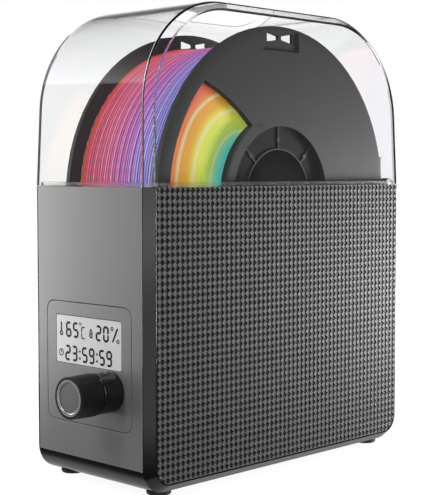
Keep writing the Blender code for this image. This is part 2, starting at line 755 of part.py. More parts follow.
def make_back():
    half = INLET_WIDTH / 2
    tall = INLET_HEIGHT / 2
    x0 = INLET_OFFSET_X - half
    x1 = INLET_OFFSET_X + half
    face = back_y + GAP
    inlet = build("power_inlet", boxes([(
        (x0, face + INLET_FLANGE_THICKNESS - INLET_DEPTH, INLET_LIFT - tall),
        (x1, face + INLET_FLANGE_THICKNESS / 2, INLET_LIFT + tall),
    )]), KNOB_BLACK)
    flange = rounded_rectangle(
        (x0 - INLET_FLANGE, INLET_LIFT - tall - INLET_FLANGE),
        (x1 + INLET_FLANGE, INLET_LIFT + tall + INLET_FLANGE), INLET_FLANGE,
    )
    plate = build("inlet_flange", prism(flange, "Y", face, face + INLET_FLANGE_THICKNESS))
    combine(inlet, plate, "UNION")
    well = rounded_rectangle(
        (x0 + INLET_WALL, INLET_LIFT - tall + INLET_WALL),
        (x1 - INLET_WALL, INLET_LIFT + tall - INLET_WALL), INLET_WALL,
    )
    depth = INLET_DEPTH - INLET_WALL - INLET_FLANGE_THICKNESS
    cutter = prism(well, "Y", face - depth + INLET_WALL, face + 2 * INLET_FLANGE_THICKNESS)
    combine(inlet, build("cut_inlet_well", cutter))
    left, low = power_board_place()
    seat = chamber_half_depth - POWER_BOARD_STANDOFF - GAP
    board = boxes([(
        (left, seat - BOARD_THICKNESS, low),
        (left + POWER_BOARD_WIDTH, seat, low + POWER_BOARD_HEIGHT),
    )])
    build("power_board", board, BOARD_GREEN)
    profile = [
        (OUTLET_BORE, chamber_half_depth - OUTLET_FLANGE_THICKNESS), (OUTLET_BORE, back_y + OUTLET_REACH),
        (OUTLET_RADIUS, back_y + OUTLET_REACH), (OUTLET_RADIUS, back_y + GAP + OUTLET_FLANGE_THICKNESS),
        (OUTLET_FLANGE_RADIUS, back_y + GAP + OUTLET_FLANGE_THICKNESS), (OUTLET_FLANGE_RADIUS, back_y + GAP),
        (OUTLET_RADIUS, back_y + GAP), (OUTLET_RADIUS, chamber_half_depth - OUTLET_FLANGE_THICKNESS),
    ]
    build("outlet_fitting", turned(profile, "Y", (spool_x, outlet_height), 24), KNOB_BLACK, smooth=40)
    width, depth, height = SENSOR_SIZE
    wall = chamber_half_depth - GAP
    top = split_height - SENSOR_BELOW_SPLIT
    sensor = build("humidity_sensor", boxes([(
        (SENSOR_OFFSET_X - width / 2, wall - depth, top - height),
        (SENSOR_OFFSET_X + width / 2, wall, top),
    )]), LCD_PALE)
    slit = height / (3 * SENSOR_SLITS)
    slits = []
    for i in range(SENSOR_SLITS):
        z = top - height * (i + 1) / (SENSOR_SLITS + 1)
        slits.append((
            (SENSOR_OFFSET_X - width / 3, wall - 2 * depth, z - slit / 2),
            (SENSOR_OFFSET_X + width / 3, wall - depth / 2, z + slit / 2),
        ))
    combine(sensor, build("cut_sensor_slits", boxes(slits)))


def make_hinges():
    half = HINGE_LEAF_WIDTH / 2
    middle = half * KNUCKLE_SHARE
    near = back_y + GAP
    far = near + HINGE_LEAF_THICKNESS
    clear = KNUCKLE_RADIUS / 2
    centre = (hinge_y, hinge_z)
    for x, name in ((HINGE_OFFSET_X, "near"), (-HINGE_OFFSET_X, "far")):
        leaf = boxes([((x - half, near, hinge_z - clear - HINGE_LEAF_HEIGHT), (x + half, far, hinge_z - clear))])
        bracket = build("hinge_bracket_" + name, leaf, METAL)
        knuckles = disc(KNUCKLE_RADIUS, x - half, x + half, "X", centre, 20)
        combine(bracket, build("bracket_barrel_" + name, knuckles), "UNION")
        notch = boxes([(
            (x - middle - GAP, near - CASE_WALL, hinge_z - clear - GAP - KNUCKLE_RADIUS),
            (x + middle + GAP, hinge_y + 2 * KNUCKLE_RADIUS, hinge_z + 2 * KNUCKLE_RADIUS),
        )])
        combine(bracket, build("cut_bracket_notch_" + name, notch))
        bore = disc(HINGE_PIN_RADIUS + GAP, x - 2 * half, x + 2 * half, "X", centre, 14)
        combine(bracket, build("cut_bracket_bore_" + name, bore))
        build("hinge_pin_" + name, disc(HINGE_PIN_RADIUS, x - half, x + half, "X", centre, 14), METAL, smooth=40)
        strap = boxes([(
            (x - middle, near, hinge_z + clear),
            (x + middle, far, hinge_z + clear + HINGE_LEAF_HEIGHT),
        )])
        leaf_up = build("hinge_strap_" + name, strap, METAL, LID_AXIS)
        barrel = disc(KNUCKLE_RADIUS, x - middle, x + middle, "X", centre, 20)
        combine(leaf_up, build("strap_barrel_" + name, barrel, None, LID_AXIS), "UNION")
        bore = disc(HINGE_PIN_RADIUS + GAP, x - 2 * half, x + 2 * half, "X", centre, 14)
        combine(leaf_up, build("cut_strap_bore_" + name, bore, None, LID_AXIS))


def make_cover():
    cover = build("cover", cover_block(0, split_height + GAP), CLEAR, LID_AXIS, 30)
    hollow = cover_block(COVER_WALL, split_height - COVER_WALL)
    combine(cover, build("cut_cover", hollow, None, LID_AXIS))
    inset = COVER_WALL + GAP
    low = split_height + GAP
    band = []
    for edge in (inset, inset + GASKET_WIDTH):
        x = case_half_width - edge
        y = case_half_depth - edge
        band.append([
            (x, EDGE_DROP - y), (x, y - EDGE_DROP), (x - EDGE_RUN, y), (EDGE_RUN - x, y),
            (-x, y - EDGE_DROP), (-x, EDGE_DROP - y), (EDGE_RUN - x, -y), (x - EDGE_RUN, -y),
        ])
    ring = build("rim_gasket", prism(band[0], "Z", low, low + GASKET_HEIGHT), RUBBER)
    core = prism(band[1], "Z", low - GASKET_HEIGHT, low + 2 * GASKET_HEIGHT)
    combine(ring, build("cut_gasket", core))


def window_cutter(low, high):
    """Two openings in a flange: part rings whose ends curve out as they near the hub."""
    middle = (0.0, axis_height)
    narrow = WINDOW_HALF_ANGLE
    wide = WINDOW_HALF_ANGLE + WINDOW_EDGE_SKEW
    bends = []
    for share in (0.25, 0.5, 0.75):
        radius = window_outer + (HUB_RING_RADIUS - window_outer) * share
        bends.append((radius, narrow + (wide - narrow) * share))
    outlines = []
    for centre in WINDOW_CENTRES:
        outline = arc(middle, window_outer, centre - narrow, centre + narrow, 12)
        outline += [arc(middle, radius, centre + spread, 0.0, 1)[0] for radius, spread in bends]
        outline += arc(middle, HUB_RING_RADIUS, centre + wide, centre - wide, 12)
        outline += [arc(middle, radius, centre - spread, 0.0, 1)[0] for radius, spread in bends[::-1]]
        outlines.append(outline)
    return prisms(outlines, "X", low, high)


def clip_cutter(low, high):
    """The bow tie of two holes near the rim where a loose filament end is tucked in."""
    top = axis_height + SPOOL_RADIUS - CLIP_EDGE
    drop = CLIP_HOLE_HEIGHT
    outlines = []
    for side in (-1, 1):
        near = side * CLIP_NECK / 2
        far = side * (CLIP_NECK / 2 + CLIP_HOLE_WIDTH)
        outlines.append([(near, top - drop / 3), (far, top), (far, top - drop), (near, top - drop * 2 / 3)])
    return prisms(outlines, "X", low, high)


def make_flange(name, outside, side):
    """One flange of the spool; outside is its outer face and side the way that it faces."""
    inside = outside - side * FLANGE_THICKNESS
    deep = outside - side * HUB_RECESS_DEPTH
    face = outside - side * HUB_RING_RISE
    ring_foot = HUB_RING_RADIUS - 2 * HUB_RING_RISE
    profile = [
        (SPOOL_BORE_RADIUS, deep), (HUB_RECESS_RADIUS, deep), (HUB_RECESS_RADIUS, outside),
        (ring_foot - 2 * HUB_RING_RISE, outside), (ring_foot, face), (SPOOL_RADIUS - RIM_BEVEL_WIDTH, face),
        (SPOOL_RADIUS, face - side * RIM_BEVEL_DROP), (SPOOL_RADIUS, inside), (SPOOL_BORE_RADIUS, inside),
    ]
    flange = build(name, turned(profile, "X", (0.0, axis_height), 72), SPOOL_GREY, SPOOL_AXIS, 40)
    ends = sorted((outside + side * FLANGE_THICKNESS, inside - side * FLANGE_THICKNESS))
    combine(flange, build("cut_windows_" + name, window_cutter(*ends), None, SPOOL_AXIS))
    combine(flange, build("cut_clip_" + name, clip_cutter(*ends), None, SPOOL_AXIS))
    clip_top = axis_height + SPOOL_RADIUS - CLIP_EDGE
    half = CLIP_NECK / 2 + CLIP_HOLE_WIDTH + CLIP_POCKET_SIDE
    floor = face - side * CLIP_POCKET_DEPTH
    levels = sorted((floor, outside + side * FLANGE_THICKNESS))
    pocket = boxes([(
        (levels[0], -half, clip_top - CLIP_HOLE_HEIGHT - CLIP_POCKET_BELOW),
        (levels[1], half, clip_top + CLIP_POCKET_ABOVE),
    )])
    combine(flange, build("cut_clip_pocket_" + name, pocket, None, SPOOL_AXIS))
    spokes = bmesh.new()
    bury = SPOKE_HEIGHT / 2
    ends = sorted((deep - side * bury, deep + side * SPOKE_HEIGHT))
    low = Vector((ends[0], -SPOKE_WIDTH / 2, SPOOL_BORE_RADIUS + bury))
    high = Vector((ends[1], SPOKE_WIDTH / 2, HUB_RECESS_RADIUS + bury))
    for i in range(HUB_SPOKES):
        turn = Matrix.Rotation(2 * math.pi * i / HUB_SPOKES, 4, "X")
        place = Matrix.Translation((0, 0, axis_height)) @ turn @ Matrix.Translation((low + high) / 2)
        bmesh.ops.create_cube(spokes, size=1.0, matrix=place @ Matrix.Diagonal((*(high - low), 1.0)))
    combine(flange, build("hub_spokes_" + name, spokes, None, SPOOL_AXIS), "UNION")


def make_spool():
    near = spool_x + SPOOL_WIDTH / 2
    far = spool_x - SPOOL_WIDTH / 2
    make_flange("spool_flange_near", near, 1)
    make_flange("spool_flange_far", far, -1)
    low = far + FLANGE_THICKNESS + GAP
    high = near - FLANGE_THICKNESS - GAP
    middle = (0.0, axis_height)
    hub_outer = HUB_RING_RADIUS - HUB_WALL
    hub = tube(hub_outer - HUB_WALL, hub_outer, low, high, "X", middle, 48)
    build("spool_hub", hub, SPOOL_GREY, SPOOL_AXIS, 40)
    path_radius = winding_radius - WINDING_TUBE_RADIUS
    flat = path_radius * math.cos(math.pi / POINTS_PER_LOOP)
    core_radius = flat - WINDING_TUBE_RADIUS - GAP
    core = tube(hub_outer + GAP, core_radius, low, high, "X", middle, 72)
    build("filament_core", core, FILAMENT, SPOOL_AXIS, 40)
    make_winding(low, high, path_radius)


def make_winding(low, high, radius):
    """The outer layer of filament: one tube in a helix, its ends square to the flanges."""
    lead = 3 * WINDING_TUBE_RADIUS
    start = low + lead
    pitch = (high - low - 2 * lead) / WINDING_LOOPS
    count = WINDING_LOOPS * POINTS_PER_LOOP
    points = [Vector((low, radius, 0.0))]
    for i in range(count + 1):
        angle = 2 * math.pi * i / POINTS_PER_LOOP
        x = start + pitch * i / POINTS_PER_LOOP
        points.append(Vector((x, radius * math.cos(angle), radius * math.sin(angle))))
    points.append(Vector((high, radius, 0.0)))
    curve = bpy.data.curves.new("filament_winding", "CURVE")
    curve.dimensions = "3D"
    curve.bevel_depth = WINDING_TUBE_RADIUS
    curve.bevel_resolution = 1
    curve.use_fill_caps = True
    spline = curve.splines.new("POLY")
    spline.points.add(len(points) - 1)
    for target, point in zip(spline.points, points):
        target.co = (point.x - SPOOL_AXIS.location.x, point.y, point.z, 1.0)
    obj = bpy.data.objects.new("filament_winding", curve)
    bpy.context.scene.collection.objects.link(obj)
    obj.parent = SPOOL_AXIS
    curve.materials.append(FILAMENT)
    least = min(
        (points[i] - points[j]).length
        for i in range(len(points))
        for j in range(i + POINTS_PER_LOOP // 2, min(i + 2 * POINTS_PER_LOOP, len(points)))
    )
    print("filament_winding least gap to itself: %.2f mm" % ((least - 2 * WINDING_TUBE_RADIUS) * 1000))


clear_scene()

SHELL_BLACK = finish("shell_black", (0.035, 0.035, 0.037), 0.35)
SIDE_BLACK = finish("side_black", (0.06, 0.06, 0.062), 0.55)
PANEL_GREY = finish("panel_grey", (0.22, 0.22, 0.225), 0.45, 0.4)
LCD_PALE = finish("lcd_pale", (0.63, 0.64, 0.63), 0.3)
KNOB_BLACK = finish("knob_black", (0.018, 0.018, 0.019), 0.4)
METAL = finish("metal", (0.45, 0.45, 0.46), 0.35, 0.9)
BOARD_GREEN = finish("board_green", (0.02, 0.12, 0.05), 0.5)
RUBBER = finish("rubber", (0.02, 0.02, 0.02), 0.8)
CLEAR = finish("clear", (0.92, 0.93, 0.94), 0.05, 0.0, 0.25)
SPOOL_GREY = finish("spool_grey", (0.09, 0.09, 0.092), 0.5)
FILAMENT = finish("filament", (0.55, 0.16, 0.42), 0.35)

CASE = empty("case_frame", (0.0, case_y, 0.0))
LID_AXIS = empty("lid_axis", (0.0, hinge_y, hinge_z), CASE)
KNOB_AXIS = empty("knob_axis", (knob_x, front_y, knob_height), CASE)
FAN_AXIS = empty("fan_axis", (0.0, 0.0, fan_base), CASE)
SPOOL_AXIS = empty("spool_axis", (spool_x, 0.0, axis_height), CASE)
swing = roller_orbit * math.sin(ROLLER_ANGLE)
drop = roller_orbit * math.cos(ROLLER_ANGLE)
ROLLER_FRONT = empty("roller_front_axis", (0.0, -swing, axis_height - drop), CASE)
ROLLER_REAR = empty("roller_rear_axis", (0.0, swing, axis_height - drop), CASE)

make_case_shell()
make_outer_panels()
make_controls()
make_bottom()
make_tray()
make_heater()
make_rollers()
make_back()
make_hinges()
make_cover()
make_spool()
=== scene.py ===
import json
import math

import bpy
from mathutils import Matrix, Vector

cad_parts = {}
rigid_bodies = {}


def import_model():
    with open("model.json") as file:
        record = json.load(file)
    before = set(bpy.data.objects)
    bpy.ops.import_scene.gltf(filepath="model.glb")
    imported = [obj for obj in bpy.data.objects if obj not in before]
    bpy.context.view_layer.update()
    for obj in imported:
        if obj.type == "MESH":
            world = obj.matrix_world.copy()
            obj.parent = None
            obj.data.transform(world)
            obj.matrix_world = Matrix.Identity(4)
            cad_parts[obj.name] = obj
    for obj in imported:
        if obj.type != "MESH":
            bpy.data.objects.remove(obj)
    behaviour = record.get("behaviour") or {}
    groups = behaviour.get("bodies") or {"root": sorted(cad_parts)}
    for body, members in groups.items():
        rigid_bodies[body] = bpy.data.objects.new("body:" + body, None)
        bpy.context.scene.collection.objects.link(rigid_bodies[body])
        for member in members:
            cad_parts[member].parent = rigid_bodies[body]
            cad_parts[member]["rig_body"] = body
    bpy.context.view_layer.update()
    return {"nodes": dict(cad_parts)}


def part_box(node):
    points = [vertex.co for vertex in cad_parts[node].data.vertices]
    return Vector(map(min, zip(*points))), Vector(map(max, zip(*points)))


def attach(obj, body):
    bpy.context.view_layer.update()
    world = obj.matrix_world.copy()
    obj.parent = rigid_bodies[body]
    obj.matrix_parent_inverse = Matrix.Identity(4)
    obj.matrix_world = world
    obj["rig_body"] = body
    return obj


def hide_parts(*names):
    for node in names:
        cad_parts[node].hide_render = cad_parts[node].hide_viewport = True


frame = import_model()

# Studio: a pale floor, two narrow strips beside the object, two soft boxes and three glowing cards.
# Floor and sky are white to the lens and through clear plastic, and dimmer in gloss and as soft light.
# The camera stands off the front corner, at the height of the split.
CAMERA_PLACE = (0.53368, -0.54695, 0.17816)
CAMERA_TILT = math.radians(86.48)
CAMERA_TURN = math.radians(44.15)
CAMERA_LENS = 90.65
FLOOR_SIZE = 8.0
FLOOR_PAINT = (0.09, 0.09, 0.09, 1.0)
FLOOR_GLOW = 0.935
FLOOR_EDGE_GLOW = 1.02
FLOOR_GLOW_RUN = (0.25, 0.9)
FLOOR_SHEEN = 0.55
FLOOR_SHINE = 0.9
BESIDE = ((0.066, 0.058), (-0.109, -0.103))
FRONT_RIGHT = ((0.05, 0.15), (-0.15, -0.25))
BACK_LEFT = ((-0.3, -0.6), (0.3, 0.6))
SKY_LIGHT = 0.42
GLOSS_LIGHT = 0.12
AIM = Vector((0.0, 0.0, 0.15))


class Signal:
    """One socket of a node tree. Sums and products of signals add Math nodes."""

    def __init__(self, socket):
        self.socket = socket

    def node(self, kind, inputs=None, output=0, stops=(), **settings):
        """Add a node: its settings and ramp stops first, then the values or links of its sockets."""
        tree = self.socket.id_data
        made = tree.nodes.new("ShaderNode" + kind)
        for name, value in settings.items():
            setattr(made, name, value)
        if stops:
            ramp = made.color_ramp.elements
            ramp[0].position = stops[0][0]
            ramp[1].position = stops[-1][0]
            for place, _ in stops[1:-1]:
                ramp.new(place)
            for element, (_, colour) in zip(ramp, stops):
                element.color = (*colour, 1.0)
        for name, value in (inputs or {}).items():
            if isinstance(value, Signal):
                tree.links.new(value.socket, made.inputs[name])
            else:
                made.inputs[name].default_value = value
        return Signal(made.outputs[output])

    def math(self, operation, first, second=0.0):
        return self.node("Math", {0: first, 1: second}, operation=operation)

    def __add__(self, other):
        return self.math("ADD", self, other)

    def __radd__(self, other):
        return self.math("ADD", other, self)

    def __sub__(self, other):
        return self.math("SUBTRACT", self, other)

    def __rsub__(self, other):
        return self.math("SUBTRACT", other, self)

    def __mul__(self, other):
        return self.math("MULTIPLY", self, other)

    def __rmul__(self, other):
        return self.math("MULTIPLY", other, self)

    def part(self, name):
        """One coordinate of a vector, by its letter."""
        return self.node("SeparateXYZ", {"Vector": self}, name)

    def between(self, low, high):
        """Nought at low and one at high, clamped."""
        return self.node("MapRange", {"Value": self, "From Min": low, "From Max": high})

    def mix(self, first, second):
        """From the first colour to the second as this signal goes from nought to one."""
        pair = {6: first, 7: second}
        for key, colour in pair.items():
            if not isinstance(colour, Signal):
                pair[key] = (*colour, 1.0)
        return self.node("Mix", {0: self, **pair}, output=2, data_type="RGBA")


def by_ray(tree, seen, gloss, soft):
    """One level for rays of the lens and of clear plastic, one for gloss and one for soft light."""
    path = tree.nodes.new("ShaderNodeLightPath")
    lens = Signal(path.outputs["Is Camera Ray"])
    mirrored = lens.math("MINIMUM", Signal(path.outputs["Glossy Depth"]), 1.0)
    through = Signal(path.outputs["Is Transmission Ray"])
    straight = lens.math("MAXIMUM", lens, through * (1.0 - mirrored))
    shine = mirrored.math("MAXIMUM", Signal(path.outputs["Is Glossy Ray"]), through * mirrored)
    return straight * seen + shine * gloss + (1.0 - straight) * (1.0 - shine) * soft


def only(obj):
    """Make one object the only selected one, and the active one."""
    bpy.ops.object.select_all(action="DESELECT")
    obj.select_set(True)
    bpy.context.view_layer.objects.active = obj


world = bpy.data.worlds.new("studio")
world.use_nodes = True
bpy.context.scene.world = world
sky = world.node_tree.nodes["Background"]
sky.inputs["Color"].default_value = (1.0, 1.0, 1.0, 1.0)
sky_level = by_ray(world.node_tree, 1.0, GLOSS_LIGHT, SKY_LIGHT)
world.node_tree.links.new(sky_level.socket, sky.inputs["Strength"])

bpy.ops.mesh.primitive_plane_add(size=FLOOR_SIZE, location=(0.0, 0.0, 0.0))
floor = bpy.context.object
floor.name = "studio_floor"
floor_paint = bpy.data.materials.new("floor_paint")
floor_paint.use_nodes = True
floor_shader = floor_paint.node_tree.nodes["Principled BSDF"]
floor_shader.inputs["Base Color"].default_value = FLOOR_PAINT
floor_shader.inputs["Roughness"].default_value = 1.0
floor_shader.inputs["Specular IOR Level"].default_value = 0.0
floor_shader.inputs["Emission Color"].default_value = (1.0, 1.0, 1.0, 1.0)
floor_tree = floor_paint.node_tree
floor_place = Signal(floor_tree.nodes.new("ShaderNodeTexCoord").outputs["Object"])
distance = floor_place.node("VectorMath", {0: floor_place}, output=1, operation="LENGTH")
glow = FLOOR_GLOW + (FLOOR_EDGE_GLOW - FLOOR_GLOW) * distance.between(*FLOOR_GLOW_RUN)


def floor_zone(x_run, y_run):
    """A part of the floor, which sets in along each run from its first end to its second."""
    return floor_place.part("X").between(*x_run) * floor_place.part("Y").between(*y_run)


sheen = FLOOR_SHEEN * floor_zone(*BESIDE)
sheen = sheen + FLOOR_SHINE * (floor_zone(*FRONT_RIGHT) + floor_zone(*BACK_LEFT))
floor_level = by_ray(floor_tree, glow, sheen, 0.0)
floor_tree.links.new(floor_level.socket, floor_shader.inputs["Emission Strength"])
floor.data.materials.append(floor_paint)

# Each lamp's name, place, width and height, and power in watts.
LAMPS = (
    ("left_strip", (-0.24, -0.16, 0.14), (0.06, 0.24), 0.95),
    ("right_strip", (0.16, 0.36, 0.090), (0.06, 0.16), 2.7),
    ("brow_box", (0.0, -0.95, 0.85), (0.4, 0.4), 5.0),
    ("front_box", (1.20, -0.80, 0.50), (0.5, 0.8), 9.0),
)
for lamp_name, lamp_place, lamp_size, lamp_power in LAMPS:
    lamp = bpy.data.lights.new(lamp_name, "AREA")
    lamp.shape = "RECTANGLE"
    lamp.size, lamp.size_y = lamp_size
    lamp.energy = lamp_power
    holder = bpy.data.objects.new(lamp_name, lamp)
    holder.location = lamp_place
    holder.rotation_euler = (AIM - Vector(lamp_place)).to_track_quat("-Z", "Y").to_euler()
    bpy.context.scene.collection.objects.link(holder)

# Each card's name, place, width and height, and glow at its lower edge.
CARD_SOFT_EDGE = 0.93
CARDS = (
    ("left_card", (-1.05, -0.42, 0.97), (1.7, 0.62), 2.2),
    ("back_card", (-0.95, 0.75, 0.75), (0.9, 0.5), 1.3),
    ("front_card", (0.75, -1.0, 0.30), (0.5, 0.58), 3.0),
)
for card_name, card_place, card_size, card_level in CARDS:
    bpy.ops.mesh.primitive_plane_add(size=1.0, location=card_place)
    card = bpy.context.object
    card.name = card_name
    card.scale = (*card_size, 1.0)
    card.rotation_euler = (AIM - Vector(card_place)).to_track_quat("Z", "Y").to_euler()
    card_paint = bpy.data.materials.new(card_name)
    card_paint.use_nodes = True
    card_tree = card_paint.node_tree
    card_shader = card_tree.nodes["Principled BSDF"]
    on_card = Signal(card_tree.nodes.new("ShaderNodeTexCoord").outputs["Object"])
    fade = on_card.part("Y").between(0.5, -0.5)
    card_glow = card_level * fade * fade * fade.between(1.0, CARD_SOFT_EDGE)
    card_shader.inputs["Base Color"].default_value = (0.0, 0.0, 0.0, 1.0)
    card_shader.inputs["Emission Color"].default_value = (1.0, 1.0, 1.0, 1.0)
    card_tree.links.new(card_glow.socket, card_shader.inputs["Emission Strength"])
    card.data.materials.append(card_paint)
    card.visible_camera = False
    card.visible_transmission = False

lens = bpy.data.cameras.new("studio_camera")
lens.lens = CAMERA_LENS
camera = bpy.data.objects.new("studio_camera", lens)
camera.location = CAMERA_PLACE
camera.rotation_euler = (CAMERA_TILT, 0.0, CAMERA_TURN)
bpy.context.scene.collection.objects.link(camera)
bpy.context.scene.camera = camera
bpy.context.scene.view_settings.view_transform = "Standard"

# Base shell: the tub that everything is built into, one injection moulding in gloss black ABS.
# Its long edges are chamfered, its lower corners round, and the panels lie in shallow pockets.
SHELL_EDGE = 0.0002
SAME_POINT = 2e-6
SAME_PLANE = math.radians(0.6)
SHARP = 32.0


def finish(name, make, relief=0.0, constants=None):
    """A Principled material. make() turns Object coordinates into the sockets that vary."""
    material = bpy.data.materials.new(name)
    material.use_nodes = True
    tree = material.node_tree
    shader = tree.nodes["Principled BSDF"]
    for socket, value in (constants or {}).items():
        shader.inputs[socket].default_value = value
    place = Signal(tree.nodes.new("ShaderNodeTexCoord").outputs["Object"])
    wiring = make(place)
    height = wiring.pop("Height", None)
    if height is not None:
        wiring["Normal"] = place.node("Bump", {"Height": height, "Distance": relief, "Strength": 1.0})
    for socket, value in wiring.items():
        if isinstance(value, Signal):
            tree.links.new(value.socket, shader.inputs[socket])
        else:
            shader.inputs[socket].default_value = value
    return material


def noise(place, scale, detail=2.0):
    """Soft random cloud, with this many waves to the metre."""
    return place.node("TexNoise", {"Vector": place, "Scale": scale, "Detail": detail})


def apply(obj, kind, **settings):
    """Add one modifier to an object and apply it."""
    only(obj)
    modifier = obj.modifiers.new(kind.lower(), kind)
    for name, value in settings.items():
        setattr(modifier, name, value)
    bpy.ops.object.modifier_apply(modifier=modifier.name)


def smooth(obj, sharp):
    """Smooth shading up to an angle, with flat faces kept flat beside their rounded edges."""
    only(obj)
    bpy.ops.object.shade_smooth_by_angle(angle=math.radians(sharp))
    apply(obj, "WEIGHTED_NORMAL", mode="FACE_AREA", weight=50, keep_sharp=True)


def wear(obj, material):
    """Give an object one material and no other."""
    obj.data.materials.clear()
    obj.data.materials.append(material)


def fit(obj, body, slot, *nodes):
    """Let a piece ride on its body and stand for CAD nodes. The slot is not used."""
    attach(obj, body)
    if nodes:
        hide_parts(*nodes)


def dress(node, slot, material, edge):
    """One CAD node's form with its facets merged and its edges rounded, standing for that node."""
    source = frame["nodes"][node]
    piece = bpy.data.objects.new(node + "_finished", source.data.copy())
    bpy.context.scene.collection.objects.link(piece)
    wear(piece, material)
    only(piece)
    bpy.ops.mesh.customdata_custom_splitnormals_clear()
    bpy.ops.object.mode_set(mode="EDIT")
    bpy.ops.mesh.select_all(action="SELECT")
    bpy.ops.mesh.remove_doubles(threshold=SAME_POINT)
    bpy.ops.mesh.dissolve_limited(angle_limit=SAME_PLANE)
    bpy.ops.object.mode_set(mode="OBJECT")
    apply(
        piece, "BEVEL", width=edge, segments=2, limit_method="ANGLE",
        angle_limit=math.radians(SHARP), use_clamp_overlap=True,
    )
    smooth(piece, SHARP)
    fit(piece, source["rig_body"], slot, node)


def shell_black(place):
    """Gloss black with faint flow marks in the gloss and a very fine grain."""
    flow = noise(place, 35.0, 4.0)
    return {
        "Base Color": flow.mix((0.0015, 0.0015, 0.0016), (0.0030, 0.0030, 0.0031)),
        "Roughness": 0.09 + 0.06 * flow,
        "Height": noise(place, 1800.0),
    }


SHELL_BLACK = finish("shell_black", shell_black, relief=0.00002)
dress("base_shell", "shell_black", SHELL_BLACK, SHELL_EDGE)

# Bottom plate and feet: a slotted plate of the same plastic closes the tub under the fan.
# Four pan head screws hold it, and four turned rubber feet are glued beside it.
PLATE_EDGE = 0.00025
SCREW_INSET = 0.006
SCREW_RADIUS = 0.0022
SCREW_HEIGHT = 0.45 * SCREW_RADIUS
SCREW_ROUND = 0.25 * SCREW_RADIUS
CROSS_SIZE = (1.1 * SCREW_RADIUS, 0.24 * SCREW_RADIUS, 0.5 * SCREW_RADIUS)
CROSS_LIFT = 0.5 * SCREW_RADIUS


def pick(obj, test, kind="FACE"):
    """In edit mode, select only what passes a test: faces by their centre and normal,
    edges by their two ends, or vertices by their place."""
    bpy.ops.object.mode_set(mode="OBJECT")
    mesh = obj.data
    bpy.context.tool_settings.mesh_select_mode = (kind == "VERT", kind == "EDGE", kind == "FACE")
    for group in (mesh.vertices, mesh.edges, mesh.polygons):
        group.foreach_set("select", [False] * len(group))
    if kind == "FACE":
        for face in mesh.polygons:
            face.select = test(face.center, face.normal)
    elif kind == "EDGE":
        for edge in mesh.edges:
            edge.select = test(*(mesh.vertices[i].co for i in edge.vertices))
    else:
        for vertex in mesh.vertices:
            vertex.select = test(vertex.co)
    bpy.ops.object.mode_set(mode="EDIT")


def set_down(obj):
    """Apply an object's place, turn and scale to its mesh."""
    only(obj)
    bpy.ops.object.transform_apply(location=True, rotation=True, scale=True)
    return obj


def join(name, parts):
    """Join objects into one named piece."""
    only(parts[0])
    for part in parts[1:]:
        part.select_set(True)
    bpy.ops.object.join()
    parts[0].name = name
    parts[0].data.name = name
    return set_down(parts[0])


def copied(obj, matrix):
    """A copy of an object with its own mesh, moved by a matrix."""
    other = obj.copy()
    other.data = obj.data.copy()
    other.data.transform(matrix)
    bpy.context.scene.collection.objects.link(other)
    return other


def soft_rubber(place):
    """Dull black with a trace of dust."""
    dust = noise(place, 220.0, 3.0)
    return {
        "Base Color": dust.mix((0.012, 0.012, 0.012), (0.024, 0.024, 0.024)),
        "Roughness": 0.70 + 0.15 * dust,
        "Height": noise(place, 2400.0),
    }


def plain_steel(place):
    """Zinc plated steel, with a faint drawn grain."""
    grain = noise(place.node("Mapping", {"Vector": place, "Scale": (40.0, 1.0, 1.0)}), 900.0)
    return {
        "Base Color": grain.mix((0.42, 0.42, 0.43), (0.56, 0.56, 0.57)),
        "Roughness": 0.26 + 0.14 * grain,
        "Height": grain,
    }


RUBBER = finish("rubber", soft_rubber, relief=0.00004)
STEEL = finish("steel", plain_steel, relief=0.00001, constants={"Metallic": 1.0})
dress("bottom_cover", "shell_black", SHELL_BLACK, PLATE_EDGE)
for corner in ("near_front", "near_back", "far_front", "far_back"):
    dress("foot_" + corner, "rubber", RUBBER, edge=0.0005)


def make_screw():
    """A pan head screw lying on Z = 0, with a cross cut into its crown."""
    bpy.ops.mesh.primitive_cylinder_add(vertices=24, radius=SCREW_RADIUS, depth=SCREW_HEIGHT)
    screw = bpy.context.object
    screw.data.transform(Matrix.Translation((0.0, 0.0, SCREW_HEIGHT / 2)))
    pick(screw, lambda centre, normal: normal.z > 0.9)
    bpy.ops.mesh.bevel(offset=SCREW_ROUND, segments=3)
    bpy.ops.object.mode_set(mode="OBJECT")
    bpy.ops.mesh.primitive_cube_add(size=1.0)
    bar = bpy.context.object
    bar.data.transform(Matrix.Diagonal((*CROSS_SIZE, 1.0)))
    bar.data.transform(Matrix.Translation((0.0, 0.0, CROSS_LIFT)))
    other = copied(bar, Matrix.Rotation(math.pi / 2, 4, "Z"))
    for cutter in (bar, other):
        apply(screw, "BOOLEAN", object=cutter, operation="DIFFERENCE")
        bpy.data.objects.remove(cutter, do_unlink=True)
    smooth(screw, 35.0)
    wear(screw, STEEL)
    return screw


screw = make_screw()
plate_low, plate_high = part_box("bottom_cover")
screw_copies = []
for screw_x in (plate_low.x + SCREW_INSET, plate_high.x - SCREW_INSET):
    for screw_y in (plate_low.y + SCREW_INSET, plate_high.y - SCREW_INSET):
        upside_down = Matrix.Translation((screw_x, screw_y, plate_low.z)) @ Matrix.Rotation(math.pi, 4, "X")
        screw_copies.append(copied(screw, upside_down))
fit(join("bottom_screws", screw_copies), "case", "steel")

# Front panel and control plate: two thin mouldings with one satin grey paint, clipped into the front.
# A groove runs between them, and a soft bevel catches the light along every edge; the front panel's right
# bevel also carries a painted highlight.
PANEL_EDGE = 0.0004
HIGHLIGHT_START = 0.0010
HIGHLIGHT_FULL = 0.0008
BEVEL_START = 0.00004
BEVEL_FULL = 0.00012


